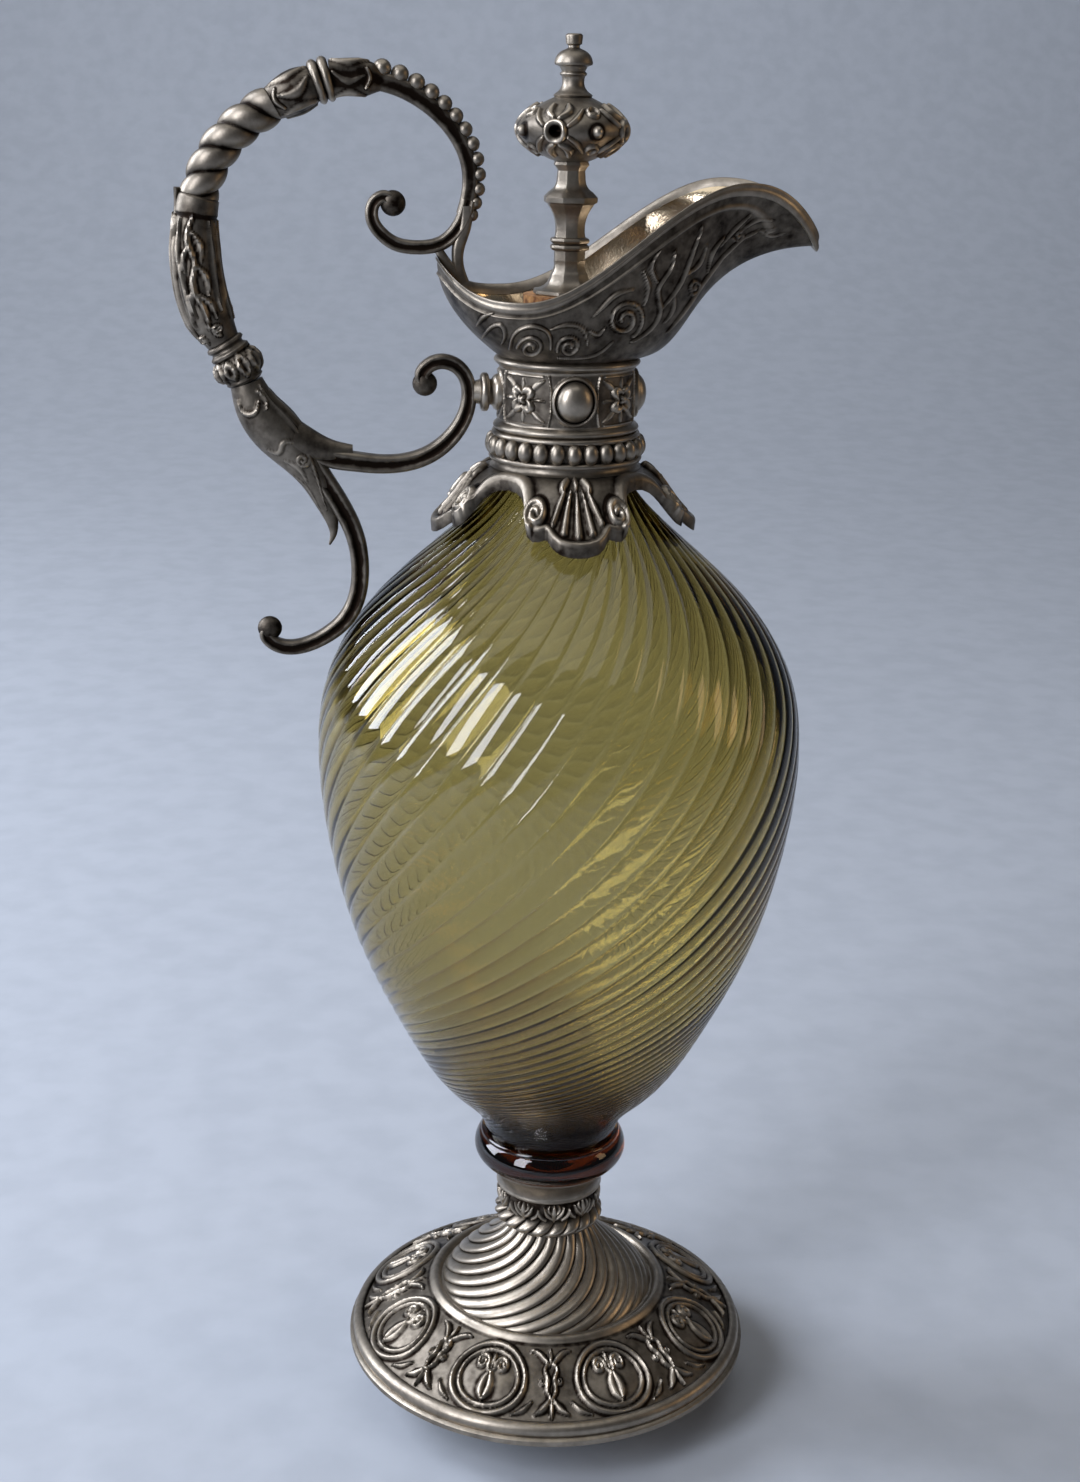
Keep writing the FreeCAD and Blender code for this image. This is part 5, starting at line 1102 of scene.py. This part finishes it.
baluster_outline = moulding([
    (4.4, 332.1), (4.4, 334.6), (5.3, 334.9, 0.3), (5.3, 336.1), (4.7, 336.4), (5.3, 336.7, 0.3),
    (5.3, 337.9), (4.4, 338.2), (4.3, 338.6, -0.9), (6.4, 346.4), (6.6, 346.8), (7.5, 347.3), (7.6, 347.9),
    (7.6, 348.6), (6.2, 350.0, -0.5), (4.1, 353.0), (3.9, 355.4), (4.4, 356.2), (5.0, 356.9), (4.8, 357.7)])
plated(
    "stopper_baluster_faceted", [(faceted(baluster_outline), 0.46, False)],
    "stopper_baluster", sharp=25, body="stopper")

ROUNDELS = 4
ROUNDEL_COLUMNS = 96
BALL_COLUMNS = ROUNDELS * ROUNDEL_COLUMNS
BALL_RADIUS = 14.3
ROUNDEL_TURN = 20.0
ball_outline = moulding([(4.2, 357.7), (5.2, 358.0, 9.1, 72), (5.4, 373.8), (4.8, 374.1)])
along_meridian = np.concatenate([[0], np.cumsum(np.hypot(*np.diff(ball_outline, axis=0).T))])
along_meridian -= along_meridian[-1] / 2
roundel_share = np.arange(ROUNDEL_COLUMNS) / ROUNDEL_COLUMNS - 0.5
across_roundel = (roundel_share * 2 * math.pi * BALL_RADIUS / ROUNDELS)[None, :]
narrowing = (ball_outline[:, 0] / BALL_RADIUS)[:, None]
ball_up = along_meridian[:, None] + 0 * across_roundel
lobes_above = mirrored([
    stroke([(0.9, 3.6), (2.5, 5.6), (1.9, 8.6)], [0.8, 1.4, 0.7], 1.0),
    stroke([(3.4, 1.4), (5.2, 3.2), (6.0, 6.4)], [0.5, 0.9, 0.6], 1.0)])
lobes_below = [(spine * np.array([1.0, -1.0]), width, rise) for spine, width, rise in lobes_above]
roundel = [ring((0, 0), 2.4, 0.85, 1.2)] + lobes_above + lobes_below
boss = [ring((0, 0), 0.05, 1.7, 1.7), ring((0, 5.6), 1.5, 0.6, 0.9), ring((0, -5.6), 1.5, 0.6, 0.9)]
ball_pattern, ball_tarnish_and_shade = alternated(
    across_roundel, ball_up, roundel, boss, math.pi * BALL_RADIUS / ROUNDELS, narrowing)
hole = np.clip(1.5 - np.hypot(across_roundel * narrowing, ball_up), 0, 0.5) * 2
ball_lift = np.tile(ball_pattern - 2.6 * hole, ROUNDELS)
# Darker beside the strokes, partly tarnish and partly painted shade; the shallow dimples for the piercings
# are painted dark as shade inside holes
ball_wear_and_shade = np.tile(0.4 + 0.25 * ball_pattern - 0.4 * ball_tarnish_and_shade - hole, ROUNDELS)
plated(
    "stopper_ball_pierced",
    [(turned(ball_outline, BALL_COLUMNS, ball_lift, ROUNDEL_TURN), ball_wear_and_shade, False)],
    "stopper_ball", "stopper_ball_bosses", sharp=60, body="stopper")

bell_outline = moulding([
    (0.02, 374.1), (5.0, 374.1), (5.2, 374.5), (4.8, 374.9, -0.9), (3.1, 379.2), (3.4, 379.5, 0.2),
    (3.4, 380.2), (3.1, 380.5), (3.7, 381.7), (0.02, 381.7)])
plated("stopper_bell_turned", [(turned(bell_outline, 64), 0.4, False)], "stopper_bell", body="stopper")

button_outline = moulding([
    (0.02, 381.7), (3.7, 381.7), (4.9, 382.1), (5.1, 382.6, 0.7), (2.2, 386.0), (1.5, 386.4),
    (1.5, 386.9), (2.1, 387.3), (2.3, 389.2, 0.15), (1.7, 389.9), (0.3, 389.95)], 0.3)
plated(
    "stopper_button_turned", [(turned(button_outline, 64), 0.4, False)],
    "stopper_button", body="stopper")


# Studio: a plain pale floor that sweeps up into a backdrop, two upright soft boxes on the left, a broad
# one above, one for the backdrop and a weak warm one on the right. The camera stands where the
# photograph's did.
SWEEP_ROWS = 60
sweep_line = np.array(
    [(-3.0, 0.0), (1.2, 0.0), (1.7, 0.06), (2.1, 0.24), (2.35, 0.55), (2.45, 1.0), (2.5, 3.0)])
sweep_line = flow(np.insert(sweep_line, 1, (-1.0, 0.0), axis=0), SWEEP_ROWS)
sides = np.broadcast_to(np.array([-5.0, 5.0]), (SWEEP_ROWS, 2))
sweep = np.stack(
    [sides, np.repeat(sweep_line[:, :1], 2, 1), np.repeat(sweep_line[:, 1:], 2, 1)], axis=-1)
sweep_index = np.arange(2 * SWEEP_ROWS).reshape(SWEEP_ROWS, 2)
sweep_quads = np.stack(
    [sweep_index[:-1, 0], sweep_index[:-1, 1], sweep_index[1:, 1], sweep_index[1:, 0]], axis=-1)
sweep_mesh = bpy.data.meshes.new("studio_sweep")
sweep_mesh.from_pydata(sweep.reshape(-1, 3).tolist(), [], sweep_quads.tolist())
sweep_mesh.polygons.foreach_set("use_smooth", np.ones(len(sweep_mesh.polygons), dtype=bool))
# Painted studio floor: matt pale grey
painted_floor = plain_stuff("matt_floor_paint", "#a9aeb6", "#a3a8b0", 0.02, 0.8)
sweep_mesh.materials.append(painted_floor)
floor = bpy.data.objects.new("studio_sweep", sweep_mesh)
bpy.context.scene.collection.objects.link(floor)

world = bpy.data.worlds.new("studio_room")
world.use_nodes = True
room = world.node_tree.nodes["Background"]
room.inputs["Color"].default_value = linear("#b9bfc7")
room.inputs["Strength"].default_value = 0.14
bpy.context.scene.world = world


def soft_light(name, place, target, width, height, power, colour):
    """Soft box: a rectangular lamp at a place, facing a target."""
    lamp = bpy.data.lights.new(name, "AREA")
    lamp.shape = "RECTANGLE"
    lamp.size, lamp.size_y = width, height
    lamp.energy = power
    lamp.color = linear(colour)[:3]
    box = bpy.data.objects.new(name, lamp)
    box.location = place
    away = Vector(place) - Vector(target)
    box.rotation_euler = away.to_track_quat("Z", "Y").to_euler()
    bpy.context.scene.collection.objects.link(box)


soft_light("left_window", (-1.39, 0.42, 0.9), (0, 0, 0.2), 0.7, 1.4, 40.0, "#eaf1ff")
soft_light("front_window", (-1.13, -0.91, 0.9), (0, 0, 0.2), 0.5, 1.3, 26.0, "#eef3ff")
soft_light("top_light", (-0.1, 0.2, 1.9), (0, 0.4, 0), 2.0, 2.0, 12.0, "#ffffff")
soft_light("wall_light", (0.0, 1.5, 1.5), (0, 2.35, 0.4), 2.4, 0.5, 7.0, "#f2f6ff")
soft_light("right_fill", (1.6, -0.3, 0.7), (0, 0, 0.2), 0.4, 0.8, 2.5, "#ffd9a8")

FOCAL_PIXELS = 2058.3
PICTURE_HEIGHT = 1482
SENSOR = 36.0
turn = math.radians(-7.0)
pitch, roll, yaw = (math.radians(value) for value in (17.878, 1.1137, -0.5434))
forward = np.array([math.sin(yaw) * math.cos(pitch), math.cos(yaw) * math.cos(pitch), -math.sin(pitch)])
right = np.array([math.cos(yaw), -math.sin(yaw), 0.0])
up = np.cross(right, forward)
right, up = math.cos(roll) * right + math.sin(roll) * up, math.cos(roll) * up - math.sin(roll) * right
place = np.array([0.0, -567.68, 378.93]) * MILLIMETRE
spin = np.array([[math.cos(turn), -math.sin(turn), 0], [math.sin(turn), math.cos(turn), 0], [0, 0, 1]])
axes = spin @ np.stack([right, up, -forward], axis=1)
lens = bpy.data.cameras.new("camera")
lens.sensor_fit = "VERTICAL"
lens.sensor_height = SENSOR
lens.lens = SENSOR * FOCAL_PIXELS / PICTURE_HEIGHT
camera = bpy.data.objects.new("camera", lens)
matrix = np.eye(4)
matrix[:3, :3] = axes
matrix[:3, 3] = spin @ place
camera.matrix_world = Matrix(matrix.tolist())
bpy.context.scene.collection.objects.link(camera)
bpy.context.scene.camera = camera
bpy.context.scene.view_settings.view_transform = "Standard"
